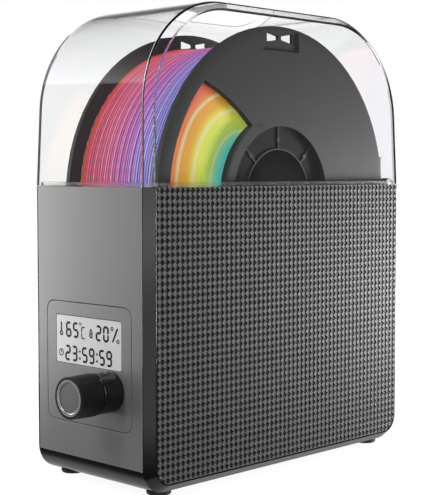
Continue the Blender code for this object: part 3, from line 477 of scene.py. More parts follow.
def panel_paint(place):
    """Satin grey paint with fine metal flakes and a faint orange peel, and a painted highlight on its right
    bevel.
    """
    flake = noise(place, 3800.0)
    cloud = noise(place, 18.0, 3.0)
    shade = 0.7 * flake + 0.3 * cloud
    right = place.part("X").between(panel_high.x - HIGHLIGHT_START, panel_high.x - HIGHLIGHT_FULL)
    turned = place.part("Y").between(panel_low.y + BEVEL_START, panel_low.y + BEVEL_FULL)
    paint = shade.mix((0.126, 0.126, 0.128), (0.164, 0.164, 0.166))
    return {
        # Painted highlight: the bevel along the panel's right edge is painted light grey where a lamp's
        # gleam would show.
        "Base Color": (right * turned).mix(paint, (0.62, 0.62, 0.62)),
        "Roughness": 0.44 + 0.12 * flake,
        "Height": noise(place, 900.0),
    }


panel_low, panel_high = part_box("front_panel")
PANEL_GREY = finish("panel_grey", panel_paint, relief=0.000012, constants={"Metallic": 0.2})
dress("front_panel", "panel_grey", PANEL_GREY, PANEL_EDGE)
dress("control_bezel", "panel_grey", PANEL_GREY, PLATE_EDGE)

# Side panels: thin black mouldings pressed into the long sides, covered by a diamond grid.
# Raised satin pads with a small dimple alternate with pockets, each a few faces; the pockets are painted
# near black as shade.
DIAMOND_PITCH = 0.00383
PAD_RISE = 0.00014
POCKET_SINK = 0.00045
POCKET_SHADE = 0.00046
PAD_DISH = 0.00006
DIAMOND_SLOPE = 0.00026
DIAMOND_RING = 0.00058
PANEL_CORNER = 0.0095
CORNER_CUTS = 6
SKIRT = 0.001
WELD = 0.00002


def diamond(centre, rise, dish):
    """One diamond of the grid: a sloped border, then a ring that falls to a small middle face."""
    bpy.ops.mesh.primitive_circle_add(
        vertices=4, radius=DIAMOND_PITCH / 2, fill_type="NGON", location=(*centre, 0.0),
    )
    bpy.ops.object.mode_set(mode="EDIT")
    bpy.ops.mesh.select_all(action="SELECT")
    bpy.ops.mesh.inset(thickness=DIAMOND_SLOPE, depth=rise)
    bpy.ops.mesh.inset(thickness=DIAMOND_RING, depth=dish)
    bpy.ops.object.mode_set(mode="OBJECT")
    return bpy.context.object


def diamond_sheet(width, height):
    """A sheet of diamonds on Z = 0, from its upper left corner to the right and down, with a skirt."""
    half = DIAMOND_PITCH / 2
    pair = [diamond((half, 0.0), PAD_RISE, -PAD_DISH), diamond((0.0, half), -POCKET_SINK, PAD_DISH)]
    sheet = join("diamond_sheet", pair)
    for axis, length in ((0, width), (1, height)):
        step = [0.0, 0.0, 0.0]
        step[axis] = DIAMOND_PITCH if axis == 0 else -DIAMOND_PITCH
        apply(
            sheet, "ARRAY", count=math.ceil(length / DIAMOND_PITCH) + 2, use_relative_offset=False,
            use_constant_offset=True, constant_offset_displace=step,
            use_merge_vertices=True, merge_threshold=WELD,
        )
    only(sheet)
    bpy.ops.object.mode_set(mode="EDIT")
    cuts = [((0.0, 0.0), (0.0, 1.0)), ((0.0, -height), (0.0, -1.0))]
    cuts += [((0.0, 0.0), (-1.0, 0.0)), ((width, 0.0), (1.0, 0.0))]
    for i in range(1, CORNER_CUTS):
        lean = math.pi / 2 * i / CORNER_CUTS
        for side, middle in ((-1.0, PANEL_CORNER), (1.0, width - PANEL_CORNER)):
            out = (side * math.cos(lean), -math.sin(lean))
            edge = (middle + PANEL_CORNER * out[0], PANEL_CORNER - height + PANEL_CORNER * out[1])
            cuts.append((edge, out))
    for point, out in cuts:
        bpy.ops.mesh.select_all(action="SELECT")
        bpy.ops.mesh.bisect(plane_co=(*point, 0.0), plane_no=(*out, 0.0), clear_outer=True, threshold=1e-7)
    bpy.ops.mesh.select_all(action="DESELECT")
    bpy.ops.mesh.select_mode(type="EDGE")
    bpy.ops.mesh.select_non_manifold(
        extend=False, use_wire=False, use_multi_face=False, use_non_contiguous=False, use_verts=False,
    )
    bpy.ops.mesh.extrude_region_move(TRANSFORM_OT_translate={"value": (0.0, 0.0, -SKIRT)})
    bpy.ops.object.mode_set(mode="OBJECT")
    return sheet


def side_texture(place):
    """Satin pads beside pockets painted near black: painted shade that follows the depth below the panel's
    face.
    """
    out = place.math("ABSOLUTE", place.part("X"))
    depth = out.between(SIDE_FACE - POCKET_SHADE, SIDE_FACE - PAD_RISE)
    grain = noise(place, 2600.0)
    return {
        # Painted shade: the colour darkens from the pads' grey to near black with depth into the pockets.
        "Base Color": depth.mix((0.004, 0.004, 0.0042), (0.062, 0.062, 0.0635)),
        "Roughness": 0.62 - 0.04 * depth + 0.08 * grain,
        "Height": grain,
    }


side_low, side_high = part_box("side_panel_near")
SIDE_FACE = side_high.x
sheet = diamond_sheet(side_high.y - side_low.y, side_high.z - side_low.z)
for vertex in sheet.data.vertices:
    if vertex.select:
        vertex.co.z = side_low.x - side_high.x + PAD_RISE
only(sheet)
bpy.ops.object.mode_set(mode="EDIT")
bpy.ops.mesh.edge_face_add()
bpy.ops.object.mode_set(mode="OBJECT")
SIDE_BLACK = finish("side_black", side_texture, relief=0.000015, constants={"Specular IOR Level": 0.4})
wear(sheet, SIDE_BLACK)
upright = Matrix(((0, 0, 1, 0), (1, 0, 0, 0), (0, 1, 0, 0), (0, 0, 0, 1)))
face_place = Matrix.Translation((SIDE_FACE - PAD_RISE, side_low.y, side_high.z))
near_sheet = copied(sheet, face_place @ upright)
half_turn = Matrix.Diagonal((-1.0, -1.0, 1.0, 1.0))
far_sheet = copied(near_sheet, Matrix.Translation((0.0, side_low.y + side_high.y, 0.0)) @ half_turn)
bpy.data.objects.remove(sheet, do_unlink=True)
for piece, name in ((near_sheet, "side_panel_near"), (far_sheet, "side_panel_far")):
    piece.name = name + "_diamonds"
    fit(piece, "case", "side_black", name)

# Display: a pale reflective panel behind a flush window, with black segments that lie thinly on its face.
# It shows plain readings only: two figures with their units, and a clock.
INK_LIFT = 0.00006
BAR = 0.00138
BAR_POINT = 0.42
TINY = 1e-6
DIGIT_WIDTH = 0.0049
DIGIT_HEIGHT = 0.0090
DIGIT_GAP = 0.00022
LIT = {
    "0": "abcdef", "2": "abged", "3": "abgcd", "5": "afgcd", "6": "afgedc", "9": "abfgcd", "C": "afed",
}


def lcd_glass(place):
    """Pale grey film, faintly cloudy."""
    cloud = noise(place, 70.0, 3.0)
    return {
        "Base Color": cloud.mix((0.50, 0.51, 0.50), (0.55, 0.56, 0.55)),
        "Roughness": 0.30 + 0.08 * cloud,
    }


def lcd_ink(place):
    speck = noise(place, 900.0)
    return {"Base Color": speck.mix((0.003, 0.003, 0.003), (0.006, 0.006, 0.006)), "Roughness": 0.55}


LCD_PALE = finish("lcd_pale", lcd_glass)
LCD_INK = finish("lcd_ink", lcd_ink, constants={"Specular IOR Level": 0.1})
dress("lcd_window", "lcd_pale", LCD_PALE, edge=0.0001)
lcd_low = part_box("lcd_window")[0]


def ink_bar(length, thickness):
    """A flat bar along X with pointed ends, lying in the XZ plane."""
    bpy.ops.mesh.primitive_cube_add(size=1.0)
    bar = bpy.context.object
    bar.data.transform(Matrix.Diagonal((length, INK_LIFT, thickness, 1.0)))
    pick(bar, lambda a, b: abs(a.x - b.x) < TINY and abs(a.z - b.z) < TINY, "EDGE")
    bpy.ops.mesh.bevel(offset=BAR_POINT * thickness, segments=1)
    bpy.ops.object.mode_set(mode="OBJECT")
    return bar


def lcd_matrix(u, v, turn=0.0):
    """Where a mark goes: u from the window's left edge, v up from its lower edge."""
    place = Matrix.Translation((lcd_low.x + u, lcd_low.y - INK_LIFT / 2, lcd_low.z + v))
    return place @ Matrix.Rotation(turn, 4, "Y")


def digit_marks(symbol, u, v, width=DIGIT_WIDTH, height=DIGIT_HEIGHT, bar_width=BAR):
    """The lit bars of one seven bar figure whose lower left corner is at u, v."""
    flat = ink_bar(width - bar_width - DIGIT_GAP, bar_width)
    tall = ink_bar((height - bar_width) / 2 - DIGIT_GAP, bar_width)
    middle = height / 2
    upper = (3 * height - bar_width) / 4
    lower = (height + bar_width) / 4
    left, right = bar_width / 2, width - bar_width / 2
    places = {
        "a": (flat, width / 2, height - bar_width / 2), "g": (flat, width / 2, middle),
        "d": (flat, width / 2, bar_width / 2), "f": (tall, left, upper), "b": (tall, right, upper),
        "e": (tall, left, lower), "c": (tall, right, lower),
    }
    marks = []
    for name in LIT[symbol]:
        bar, x, z = places[name]
        turn = math.pi / 2 if bar is tall else 0.0
        marks.append(copied(bar, lcd_matrix(u + x, v + z, turn)))
    for bar in (flat, tall):
        bpy.data.objects.remove(bar, do_unlink=True)
    return marks


def ring_mark(radius, stroke, u, v):
    """A flat ring, for a degree sign, a clock face or a bulb."""
    bpy.ops.mesh.primitive_cylinder_add(vertices=24, radius=radius, depth=INK_LIFT)
    ring = bpy.context.object
    pick(ring, lambda centre, normal: abs(normal.z) > 0.9)
    bpy.ops.mesh.inset(thickness=stroke)
    bpy.ops.mesh.bridge_edge_loops()
    bpy.ops.object.mode_set(mode="OBJECT")
    ring.data.transform(lcd_matrix(u, v) @ Matrix.Rotation(math.pi / 2, 4, "X"))
    return ring


def stroke_mark(length, thickness, u, v, turn):
    """A short bar at any turn, its middle at u, v."""
    bar = ink_bar(length, thickness)
    bar.data.transform(lcd_matrix(u, v, turn))
    return bar


UPPER_ROW = 0.0148
LOWER_ROW = 0.0014
UPRIGHT = math.pi / 2
UPPER_FIGURES = (("6", 0.0084), ("5", 0.0146), ("2", 0.0344), ("0", 0.0406))
LOWER_FIGURES = (("2", 0.0076), ("3", 0.0136), ("5", 0.0224), ("9", 0.0284), ("5", 0.0372), ("9", 0.0432))
UNIT_C = {"u": 0.0219, "width": 0.0036, "height": 0.0070, "bar_width": 0.0008}
# Each ring's radius, stroke and place.
RINGS = (
    (0.0009, 0.0004, 0.0210, UPPER_ROW + 0.0083),  # degree sign
    (0.0012, 0.0006, 0.0482, UPPER_ROW + 0.0079),  # per cent sign, upper left
    (0.0012, 0.0006, 0.0530, UPPER_ROW + 0.0013),  # per cent sign, lower right
    (0.0021, 0.0006, 0.0041, LOWER_ROW + 0.0043),  # clock face
    (0.0015, 0.0009, 0.0043, UPPER_ROW + 0.0020),  # bulb of the thermometer
    (0.0015, 0.0009, 0.0303, UPPER_ROW + 0.0025),  # foot of the water drop
)
# Each stroke's length, thickness, place and turn.
STROKES = (
    (0.0016, 0.0015, 0.0206, LOWER_ROW + 0.0021, 0.0),  # the four dots of the colons
    (0.0016, 0.0015, 0.0206, LOWER_ROW + 0.0060, 0.0),
    (0.0016, 0.0015, 0.0354, LOWER_ROW + 0.0021, 0.0),
    (0.0016, 0.0015, 0.0354, LOWER_ROW + 0.0060, 0.0),
    (0.0092, 0.0012, 0.0507, UPPER_ROW + 0.0045, -math.radians(62.0)),  # per cent sign
    (0.0014, 0.0006, 0.0041, LOWER_ROW + 0.0050, UPRIGHT),  # hands of the clock
    (0.0011, 0.0006, 0.0046, LOWER_ROW + 0.0043, 0.0),
    (0.0055, 0.0012, 0.0043, UPPER_ROW + 0.0058, UPRIGHT),  # tube of the thermometer
    (0.0030, 0.0007, 0.0297, UPPER_ROW + 0.0050, -math.radians(65.0)),  # sides of the water drop
    (0.0030, 0.0007, 0.0309, UPPER_ROW + 0.0050, math.radians(65.0)),
)
marks = []
for row, figures in ((UPPER_ROW, UPPER_FIGURES), (LOWER_ROW, LOWER_FIGURES)):
    for symbol, u in figures:
        marks += digit_marks(symbol, u, row)
marks += digit_marks("C", v=UPPER_ROW, **UNIT_C)
marks += [ring_mark(*ring) for ring in RINGS]
marks += [stroke_mark(*stroke) for stroke in STROKES]
lcd_marks = join("lcd_marks", marks)
wear(lcd_marks, LCD_INK)
fit(lcd_marks, "case", "knob_black")

# Circuit parts in the tub: two green boards, the display module, and the encoder with the dial's shaft.
# They are closed in by the tub and the tray, so each keeps its plain form under its own finish.
TRACK = 0.0016


def circuit_board(place):
    """Green solder mask over copper tracks."""
    tracks = place.node("TexBrick", {"Vector": place, "Scale": 1.0 / TRACK, "Mortar Size": 0.03})
    mask = noise(place, 420.0, 3.0)
    copper = tracks.between(0.2, 0.8) * mask
    return {
        "Base Color": copper.mix((0.006, 0.060, 0.022), (0.020, 0.140, 0.050)),
        "Roughness": 0.30 + 0.25 * mask,
        "Height": copper,
    }


BOARD_GREEN = finish("board_green", circuit_board, relief=0.00003)
for node, material in (
    ("lcd_module", BOARD_GREEN), ("control_board", BOARD_GREEN), ("power_board", BOARD_GREEN),
    ("encoder_body", STEEL), ("encoder_rotor", STEEL), ("knob_shaft", STEEL),
):
    wear(frame["nodes"][node], material)

# Dial: a fluted black grip that turns and clicks on a smooth gloss collar fixed to the control plate.
# Its face holds a spun aluminium disc inside a bright ring of small teeth.
KNOB_RIBS = 44
RIB_DEPTH = 0.00055
RIB_WALL = 0.00012
CROWN = 0.0009
CROWN_TAPER = 0.965
CROWN_BAND = 0.0004
CAP_GAP = 0.0003
CAP_SEAT = 0.0012
CAP_RIM = 0.0004
CAP_STEP = 0.0003
DISC_SLOPE = 0.0040
DISC_RISE = 0.00012
TEETH = 40
TOOTH_BAND = 0.0009
TOOTH_DEPTH = 0.0006
TOOTH_WALL = 0.00003
TOOTH_FADE = 0.0002
TOOTH_SHADE = (0.0001, 0.0003)


def dial_black(place):
    """Satin black with a fine grain."""
    grain = noise(place, 1500.0)
    return {
        "Base Color": grain.mix((0.007, 0.007, 0.007), (0.012, 0.012, 0.012)),
        "Roughness": 0.30 + 0.12 * grain,
        "Height": grain,
    }


def collar_black(place):
    """Gloss black."""
    flow = noise(place, 120.0, 3.0)
    return {
        "Base Color": flow.mix((0.003, 0.003, 0.003), (0.006, 0.006, 0.006)),
        "Roughness": 0.16 + 0.08 * flow,
    }


def spun_aluminium(place):
    """Fine circles left by the lathe on the disc, and bright teeth round it, with painted shade in the gaps
    between them.
    """
    across = place.part("X") - dial_axis.x
    up = place.part("Z") - dial_axis.z
    radius = place.math("SQRT", across * across + up * up)
    rings = place.node("TexNoise", {"W": radius * 9000.0, "Detail": 2.0}, noise_dimensions="1D")
    bright = radius.between(TEETH_START - TOOTH_FADE, TEETH_START)
    depth = (place.part("Y") - cap_low.y).between(*TOOTH_SHADE)
    disc = rings.mix((0.26, 0.26, 0.265), (0.38, 0.38, 0.385))
    # Painted shade: the gaps between the teeth turn near black with depth below the cap's face.
    teeth = depth.mix((0.52, 0.52, 0.52), (0.010, 0.010, 0.010))
    return {
        "Base Color": bright.mix(disc, teeth),
        "Metallic": 0.8 - 0.3 * bright,
        "Roughness": 0.30 + 0.16 * rings,
        "Height": rings,
    }


knob_low, knob_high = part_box("knob")
cap_low, cap_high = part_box("knob_cap")
dial_axis = (knob_low + knob_high) / 2
knob_radius = (knob_high.x - knob_low.x) / 2
cap_radius = (cap_high.x - cap_low.x) / 2
TEETH_START = cap_radius - CAP_RIM - TOOTH_BAND
knob_length = knob_high.y - knob_low.y
knob_front = knob_length / 2 - TINY
to_front = Matrix.Rotation(math.pi / 2, 4, "X")
KNOB_BLACK = finish("knob_black", dial_black, relief=0.00002)
COLLAR_BLACK = finish("collar_black", collar_black)
CAP_GREY = finish("cap_grey", spun_aluminium, relief=0.000008)

bpy.ops.mesh.primitive_cylinder_add(vertices=2 * KNOB_RIBS, radius=knob_radius, depth=knob_length)
grip = bpy.context.object
rib_angle = math.pi / KNOB_RIBS


def between_ribs(centre, normal):
    """Every second face round the grip."""
    turn = math.atan2(centre.y, centre.x) / rib_angle
    return abs(normal.z) < 0.5 and math.floor(turn) % 2 == 0


pick(grip, between_ribs)
bpy.ops.mesh.inset(thickness=RIB_WALL, depth=-RIB_DEPTH, use_individual=True)
pick(grip, lambda centre, normal: centre.z > knob_front)
bpy.ops.mesh.inset(thickness=CROWN)
bpy.ops.mesh.inset(thickness=knob_radius - cap_radius - CROWN - CAP_GAP)
bpy.ops.mesh.extrude_region_move(TRANSFORM_OT_translate={"value": (0.0, 0.0, -CAP_SEAT)})
bpy.ops.object.mode_set(mode="OBJECT")
crown_start = knob_radius - CROWN_BAND
pick(grip, lambda co: co.z > knob_front and math.hypot(co.x, co.y) > crown_start, "VERT")
bpy.ops.transform.resize(value=(CROWN_TAPER, CROWN_TAPER, 1.0), center_override=(0.0, 0.0, 0.0))
bpy.ops.object.mode_set(mode="OBJECT")
grip.data.transform(Matrix.Translation(dial_axis) @ to_front)
grip.name = "knob_grip"
smooth(grip, 28.0)
wear(grip, KNOB_BLACK)
fit(grip, "dial", "knob_black", "knob")

bpy.ops.mesh.primitive_cylinder_add(vertices=2 * TEETH, radius=cap_radius, depth=cap_high.y - cap_low.y)
cap = bpy.context.object
pick(cap, lambda centre, normal: normal.z > 0.9)
bpy.ops.mesh.inset(thickness=CAP_RIM)
bpy.ops.mesh.inset(thickness=TOOTH_BAND)
bpy.ops.mesh.inset(thickness=CAP_STEP, depth=-CAP_STEP)
bpy.ops.mesh.inset(thickness=DISC_SLOPE, depth=DISC_RISE)


def tooth_gap(centre, normal):
    """Every second face of the toothed ring."""
    radius = math.hypot(centre.x, centre.y)
    turn = math.atan2(centre.y, centre.x) / (math.pi / TEETH)
    in_ring = TEETH_START < radius < cap_radius - CAP_RIM
    return in_ring and normal.z > 0.9 and math.floor(turn) % 2 == 0


pick(cap, tooth_gap)
bpy.ops.mesh.inset(thickness=TOOTH_WALL, depth=-TOOTH_DEPTH, use_individual=True)
bpy.ops.object.mode_set(mode="OBJECT")
cap.data.transform(Matrix.Translation((cap_low + cap_high) / 2) @ to_front)
cap.name = "knob_disc"
smooth(cap, 28.0)
wear(cap, CAP_GREY)
fit(cap, "dial", "cap_grey", "knob_cap")
dress("knob_collar", "knob_black", COLLAR_BLACK, edge=0.0003)

# Fan and heater: a 60 mm frame fan blows up through a sheet aluminium duct and a finned block.
# They stand on the bottom plate and are seen only through its slots.


def fin_aluminium(place):
    """Bare aluminium with an upright drawn grain."""
    grain = noise(place.node("Mapping", {"Vector": place, "Scale": (1.0, 1.0, 30.0)}), 500.0)
    return {
        "Base Color": grain.mix((0.55, 0.55, 0.56), (0.70, 0.70, 0.71)),
        "Roughness": 0.32 + 0.15 * grain,
        "Height": grain,
    }


ALUMINIUM = finish("aluminium", fin_aluminium, relief=0.00001, constants={"Metallic": 1.0})
dress("fan_frame", "knob_black", KNOB_BLACK, edge=0.0002)
dress("fan_impeller", "knob_black", KNOB_BLACK, edge=0.0002)
wear(frame["nodes"]["heater_duct"], ALUMINIUM)
wear(frame["nodes"]["heater_core"], ALUMINIUM)

# Chamber floor and rollers: a curved slotted tray on two ledges, with two rubber rollers on steel axles.
# Pressed steel cheeks hold the axles, and the spool's flanges ride on the rollers.
dress("chamber_tray", "shell_black", SHELL_BLACK, edge=0.0003)
for end in ("front", "rear"):
    dress("roller_" + end, "rubber", RUBBER, edge=0.0006)
    dress("axle_" + end, "steel", STEEL, edge=0.0002)
for side in ("near", "far"):
    dress("roller_bracket_" + side, "steel", STEEL, edge=0.0002)

# Back of the case: the mains inlet with its three flat pins, the filament outlet and the humidity sensor.
# The inlet snaps into its cut-out, the outlet is a turned bush, and the sensor sits inside on the wall.
PIN_SIZE = (0.002, 0.009, 0.004)
PIN_SPREAD = 0.0070
PIN_STEP = 0.002
PIN_ROUND = 0.0006
PIN_SEAT = 0.0027


def sensor_white(place):
    """Matt white plastic."""
    grain = noise(place, 1200.0)
    return {
        "Base Color": grain.mix((0.66, 0.66, 0.65), (0.74, 0.74, 0.73)),
        "Roughness": 0.45 + 0.1 * grain,
        "Height": grain,
    }


SENSOR_WHITE = finish("sensor_white", sensor_white, relief=0.00002)
dress("power_inlet", "knob_black", KNOB_BLACK, edge=0.0003)
dress("outlet_fitting", "knob_black", KNOB_BLACK, edge=0.0004)
dress("humidity_sensor", "sensor_white", SENSOR_WHITE, edge=0.0003)
inlet_low, inlet_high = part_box("power_inlet")
inlet_middle = (inlet_low + inlet_high) / 2
bpy.ops.mesh.primitive_cube_add(size=1.0)
pin = bpy.context.object
pin.data.transform(Matrix.Diagonal((*PIN_SIZE, 1.0)))
pick(pin, lambda centre, normal: normal.y > 0.9)
bpy.ops.mesh.bevel(offset=PIN_ROUND, segments=2)
bpy.ops.object.mode_set(mode="OBJECT")
pin_y = inlet_low.y + PIN_SEAT + PIN_SIZE[1] / 2
pins = []
for pin_x, pin_z in ((-PIN_SPREAD, -PIN_STEP), (0.0, PIN_STEP), (PIN_SPREAD, -PIN_STEP)):
    pins.append(copied(pin, Matrix.Translation((inlet_middle.x + pin_x, pin_y, inlet_middle.z + pin_z))))
bpy.data.objects.remove(pin, do_unlink=True)
inlet_pins = join("inlet_pins", pins)
wear(inlet_pins, STEEL)
fit(inlet_pins, "case", "steel")

# Hinges: two butt hinges with black leaves. One leaf is screwed to the back of the tub, one to the cover.
# A steel pin runs through both sets of knuckles.
HINGE_SCREW_DROP = 0.005
HINGE_SCREW_SPREAD = 0.0065
HINGE_SCREW_SEAT = 0.002
for side in ("near", "far"):
    dress("hinge_pin_" + side, "steel", STEEL, edge=0.0002)
    for leaf in ("hinge_bracket_", "hinge_strap_"):
        dress(leaf + side, "knob_black", KNOB_BLACK, edge=0.0002)
SHIFTS = (-HINGE_SCREW_SPREAD, HINGE_SCREW_SPREAD)
hinge_screws = {"case": [], "lid": []}
for side in ("near", "far"):
    for body, node, shifts in (("case", "hinge_bracket_", SHIFTS), ("lid", "hinge_strap_", (0.0,))):
        low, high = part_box(node + side)
        middle = (low + high) / 2
        height = low.z + HINGE_SCREW_DROP if body == "case" else high.z - HINGE_SCREW_DROP
        for shift in shifts:
            face = Matrix.Translation((middle.x + shift, low.y + HINGE_SCREW_SEAT, height))
            hinge_screws[body].append(copied(screw, face @ Matrix.Rotation(-math.pi / 2, 4, "X")))
for body, parts in hinge_screws.items():
    fit(join("hinge_screws_" + body, parts), body, "steel")
bpy.data.objects.remove(screw, do_unlink=True)

# Rim seal: a thin strip of clear silicone that runs round inside the foot of the cover.
# It closes the split between the tub and the cover while the cover is down.


def clear_silicone(place):
    """Almost clear, with a trace of dust."""
    dust = noise(place, 300.0)
    return {"Base Color": dust.mix((0.90, 0.90, 0.90), (0.95, 0.95, 0.95)), "Roughness": 0.15 + 0.1 * dust}


GASKET = finish("gasket", clear_silicone, constants={"Transmission Weight": 0.95, "IOR": 1.41})
dress("rim_gasket", "gasket", GASKET, edge=0.0002)

# Cover: one clear polycarbonate moulding, 2 mm thick, with drafted walls and two large round corners.
# Its long edges carry the same chamfer as the tub, and it swings up on the hinges.
# The two strip lamps pass it by, because its flat walls would show them as white bars.
COVER_WALL = 0.002
COVER_EDGE = 0.0006
COVER_CORNER = 0.0614
COVER_DRAFT = math.radians(1.75)
EDGE_RUN = 0.0054
EDGE_DROP = 0.0046
BELOW_SPLIT = 0.02
CORNER_STEPS = 28
CLEAR_SHADOW = (0.93, 0.93, 0.935, 1.0)


def clear_plastic(place):
    """Clear, faintly grey, with a slight haze of handling in its gloss."""
    haze = noise(place, 24.0, 4.0)
    return {"Base Color": (0.972, 0.976, 0.978, 1.0), "Roughness": 0.012 * haze}


CLEAR = finish("clear", clear_plastic, constants={"Transmission Weight": 1.0, "IOR": 1.49})
tree = CLEAR.node_tree
path = tree.nodes.new("ShaderNodeLightPath")
lets_through = tree.nodes.new("ShaderNodeMixShader")
through = tree.nodes.new("ShaderNodeBsdfTransparent")
through.inputs["Color"].default_value = CLEAR_SHADOW
shadow = Signal(path.outputs["Is Shadow Ray"])
soft_light = shadow.math("MAXIMUM", shadow, Signal(path.outputs["Is Diffuse Ray"]))
tree.links.new(soft_light.socket, lets_through.inputs[0])
tree.links.new(tree.nodes["Principled BSDF"].outputs[0], lets_through.inputs[1])
tree.links.new(through.outputs[0], lets_through.inputs[2])
tree.links.new(lets_through.outputs[0], tree.nodes["Material Output"].inputs["Surface"])

cover_low, cover_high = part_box("cover")
cover_y = (cover_low.y + cover_high.y) / 2
foot_half_width = (cover_high.x - cover_low.x) / 2 - EDGE_RUN
foot_half_depth = (cover_high.y - cover_low.y) / 2
base_level = cover_low.z - BELOW_SPLIT
rise = cover_high.z - base_level
slope = math.tan(COVER_DRAFT)
bpy.ops.mesh.primitive_cube_add(size=2.0)
cover = bpy.context.object
for vertex in cover.data.vertices:
    lift = rise if vertex.co.z > 0 else 0.0
    shrink = (lift - BELOW_SPLIT) * slope
    vertex.co.x *= foot_half_width - shrink
    vertex.co.y = cover_y + vertex.co.y * (foot_half_depth - shrink)
    vertex.co.z = base_level + lift
top_level = cover_high.z - TINY
pick(cover, lambda a, b: min(a.z, b.z) > top_level and abs(a.y - b.y) < TINY, "EDGE")
reach = COVER_CORNER * math.tan((math.pi / 2 - COVER_DRAFT) / 2)
bpy.ops.mesh.bevel(offset=reach, offset_type="OFFSET", segments=CORNER_STEPS, profile=0.5)
pick(cover, lambda centre, normal: abs(normal.x) > 0.9)
bpy.ops.mesh.inset(thickness=EDGE_DROP, depth=EDGE_RUN, use_even_offset=True)
bpy.ops.mesh.select_all(action="SELECT")
bpy.ops.mesh.bisect(plane_co=(0.0, 0.0, cover_low.z), plane_no=(0.0, 0.0, -1.0), clear_outer=True)
bpy.ops.object.mode_set(mode="OBJECT")
apply(cover, "BEVEL", width=COVER_EDGE, segments=3, limit_method="ANGLE", angle_limit=math.radians(25.0))
apply(cover, "SOLIDIFY", thickness=COVER_WALL, offset=-1.0, use_even_offset=True)
smooth(cover, 30.0)
cover.name = "cover_clear"
wear(cover, CLEAR)
fit(set_down(cover), "lid", "clear", "cover")
no_strips = bpy.data.collections.new("no_strips")
no_strips.objects.link(cover)
no_strips.collection_objects[0].light_linking.link_state = "EXCLUDE"
for strip in ("left_strip", "right_strip"):
    bpy.data.objects[strip].light_linking.receiver_collection = no_strips

# Spool: two dark grey flanges on a hub, moulded in one plastic, with skewed windows and a ribbed recess.
# A pair of small holes near the rim holds the loose end of the filament.
# In the recess a raised rim runs round the bore, and each spoke has a small round boss.
RECESS_RADIUS = 0.0415
RECESS_START = 0.0030
RECESS_FADE = 0.0004
RECESS_DEPTH = 0.0036
BORE_RADIUS = 0.0275
BORE_RIM = 0.0009
BORE_RIM_WALL = 0.0001
SPOKES = 8
SPOKE_RISE = 0.0008
BOSS_RADIUS = 0.0015
BOSS_PLACE = 0.0337
BOSS_ROUND = 0.0003
near_low, near_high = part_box("spool_flange_near")
far_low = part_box("spool_flange_far")[0]
axis = (near_low + near_high) / 2


def across_axis(place):
    """Distances along Y and Z from the spool's axis."""
    return place.part("Y") - axis.y, place.part("Z") - axis.z


def from_axis(place):
    """Distance from the spool's axis."""
    along, up = across_axis(place)
    return place.math("SQRT", along * along + up * up)


def in_recess(place):
    """One on the floor of either hub recess, nought elsewhere."""
    half_fade = RECESS_FADE / 2
    inside = from_axis(place).between(RECESS_RADIUS + half_fade, RECESS_RADIUS - half_fade)
    middle = (near_high.x + far_low.x) / 2
    reach = (near_high.x - far_low.x) / 2
    depth = reach - place.math("ABSOLUTE", place.part("X") - middle)
    return inside * depth.between(RECESS_START, RECESS_START + RECESS_FADE)


def spool_plastic(place):
    """Satin grey plastic with a soft moulded grain, darker and duller on the floor of the hub's recess."""
    flow = noise(place, 26.0, 3.0)
    sunk = in_recess(place)
    grain = noise(place, 1400.0)
    flange = flow.mix((0.019, 0.019, 0.0195), (0.026, 0.026, 0.0265))
    return {
        "Base Color": sunk.mix(flange, (0.005, 0.005, 0.005)),
        "Roughness": 0.58 + 0.10 * grain + 0.25 * sunk,
        "Height": grain,
    }


SPOOL_GREY = finish("spool_grey", spool_plastic, relief=0.00002, constants={"Specular IOR Level": 0.3})
for side in ("near", "far"):
    dress("spool_flange_" + side, "spool_grey", SPOOL_GREY, edge=0.0004)
dress("spool_hub", "spool_grey", SPOOL_GREY, edge=0.0003)

bpy.ops.mesh.primitive_cylinder_add(vertices=20, radius=BOSS_RADIUS, depth=2 * SPOKE_RISE)
boss = bpy.context.object
pick(boss, lambda centre, normal: abs(normal.z) > 0.9)
bpy.ops.mesh.bevel(offset=BOSS_ROUND, segments=2)
bpy.ops.object.mode_set(mode="OBJECT")
bpy.ops.mesh.primitive_cylinder_add(vertices=72, radius=BORE_RADIUS + BORE_RIM, depth=2 * SPOKE_RISE)
bore_rim = bpy.context.object
pick(bore_rim, lambda centre, normal: abs(normal.z) > 0.9)
bpy.ops.mesh.inset(thickness=BORE_RIM - BORE_RIM_WALL)
bpy.ops.mesh.bridge_edge_loops()
bpy.ops.object.mode_set(mode="OBJECT")
for side, floor_x in (("near", near_high.x - RECESS_DEPTH), ("far", far_low.x + RECESS_DEPTH)):
    hub_place = Matrix.Translation((floor_x, axis.y, axis.z)) @ Matrix.Rotation(math.pi / 2, 4, "Y")
    raised = [copied(bore_rim, hub_place)]
    for i in range(SPOKES):
        turn = Matrix.Rotation(2 * math.pi * i / SPOKES, 4, "Z")
        raised.append(copied(boss, hub_place @ turn @ Matrix.Translation((BOSS_PLACE, 0.0, 0.0))))
    hub_bosses = join("hub_bosses_" + side, raised)
    smooth(hub_bosses, 30.0)
    wear(hub_bosses, SPOOL_GREY)
    fit(hub_bosses, "spool", "spool_grey")
for spare in (boss, bore_rim):
    bpy.data.objects.remove(spare, do_unlink=True)

# Filament: 1.75 mm plastic strand in colours that change along its length, wound in tight layers.
# The outer layer is one strand from flange to flange; the layers under it show as ridges in the windows.
STRAND = 0.00175
STEPS_PER_TURN = 96
LOOSE_PITCH = 0.00196
STRAY = 0.00016
STRAY_BEATS = (2.7, 0.9)
SAG = 0.00012
SAG_BEAT = 3.9
EXTRA_LAYER = 0.0003
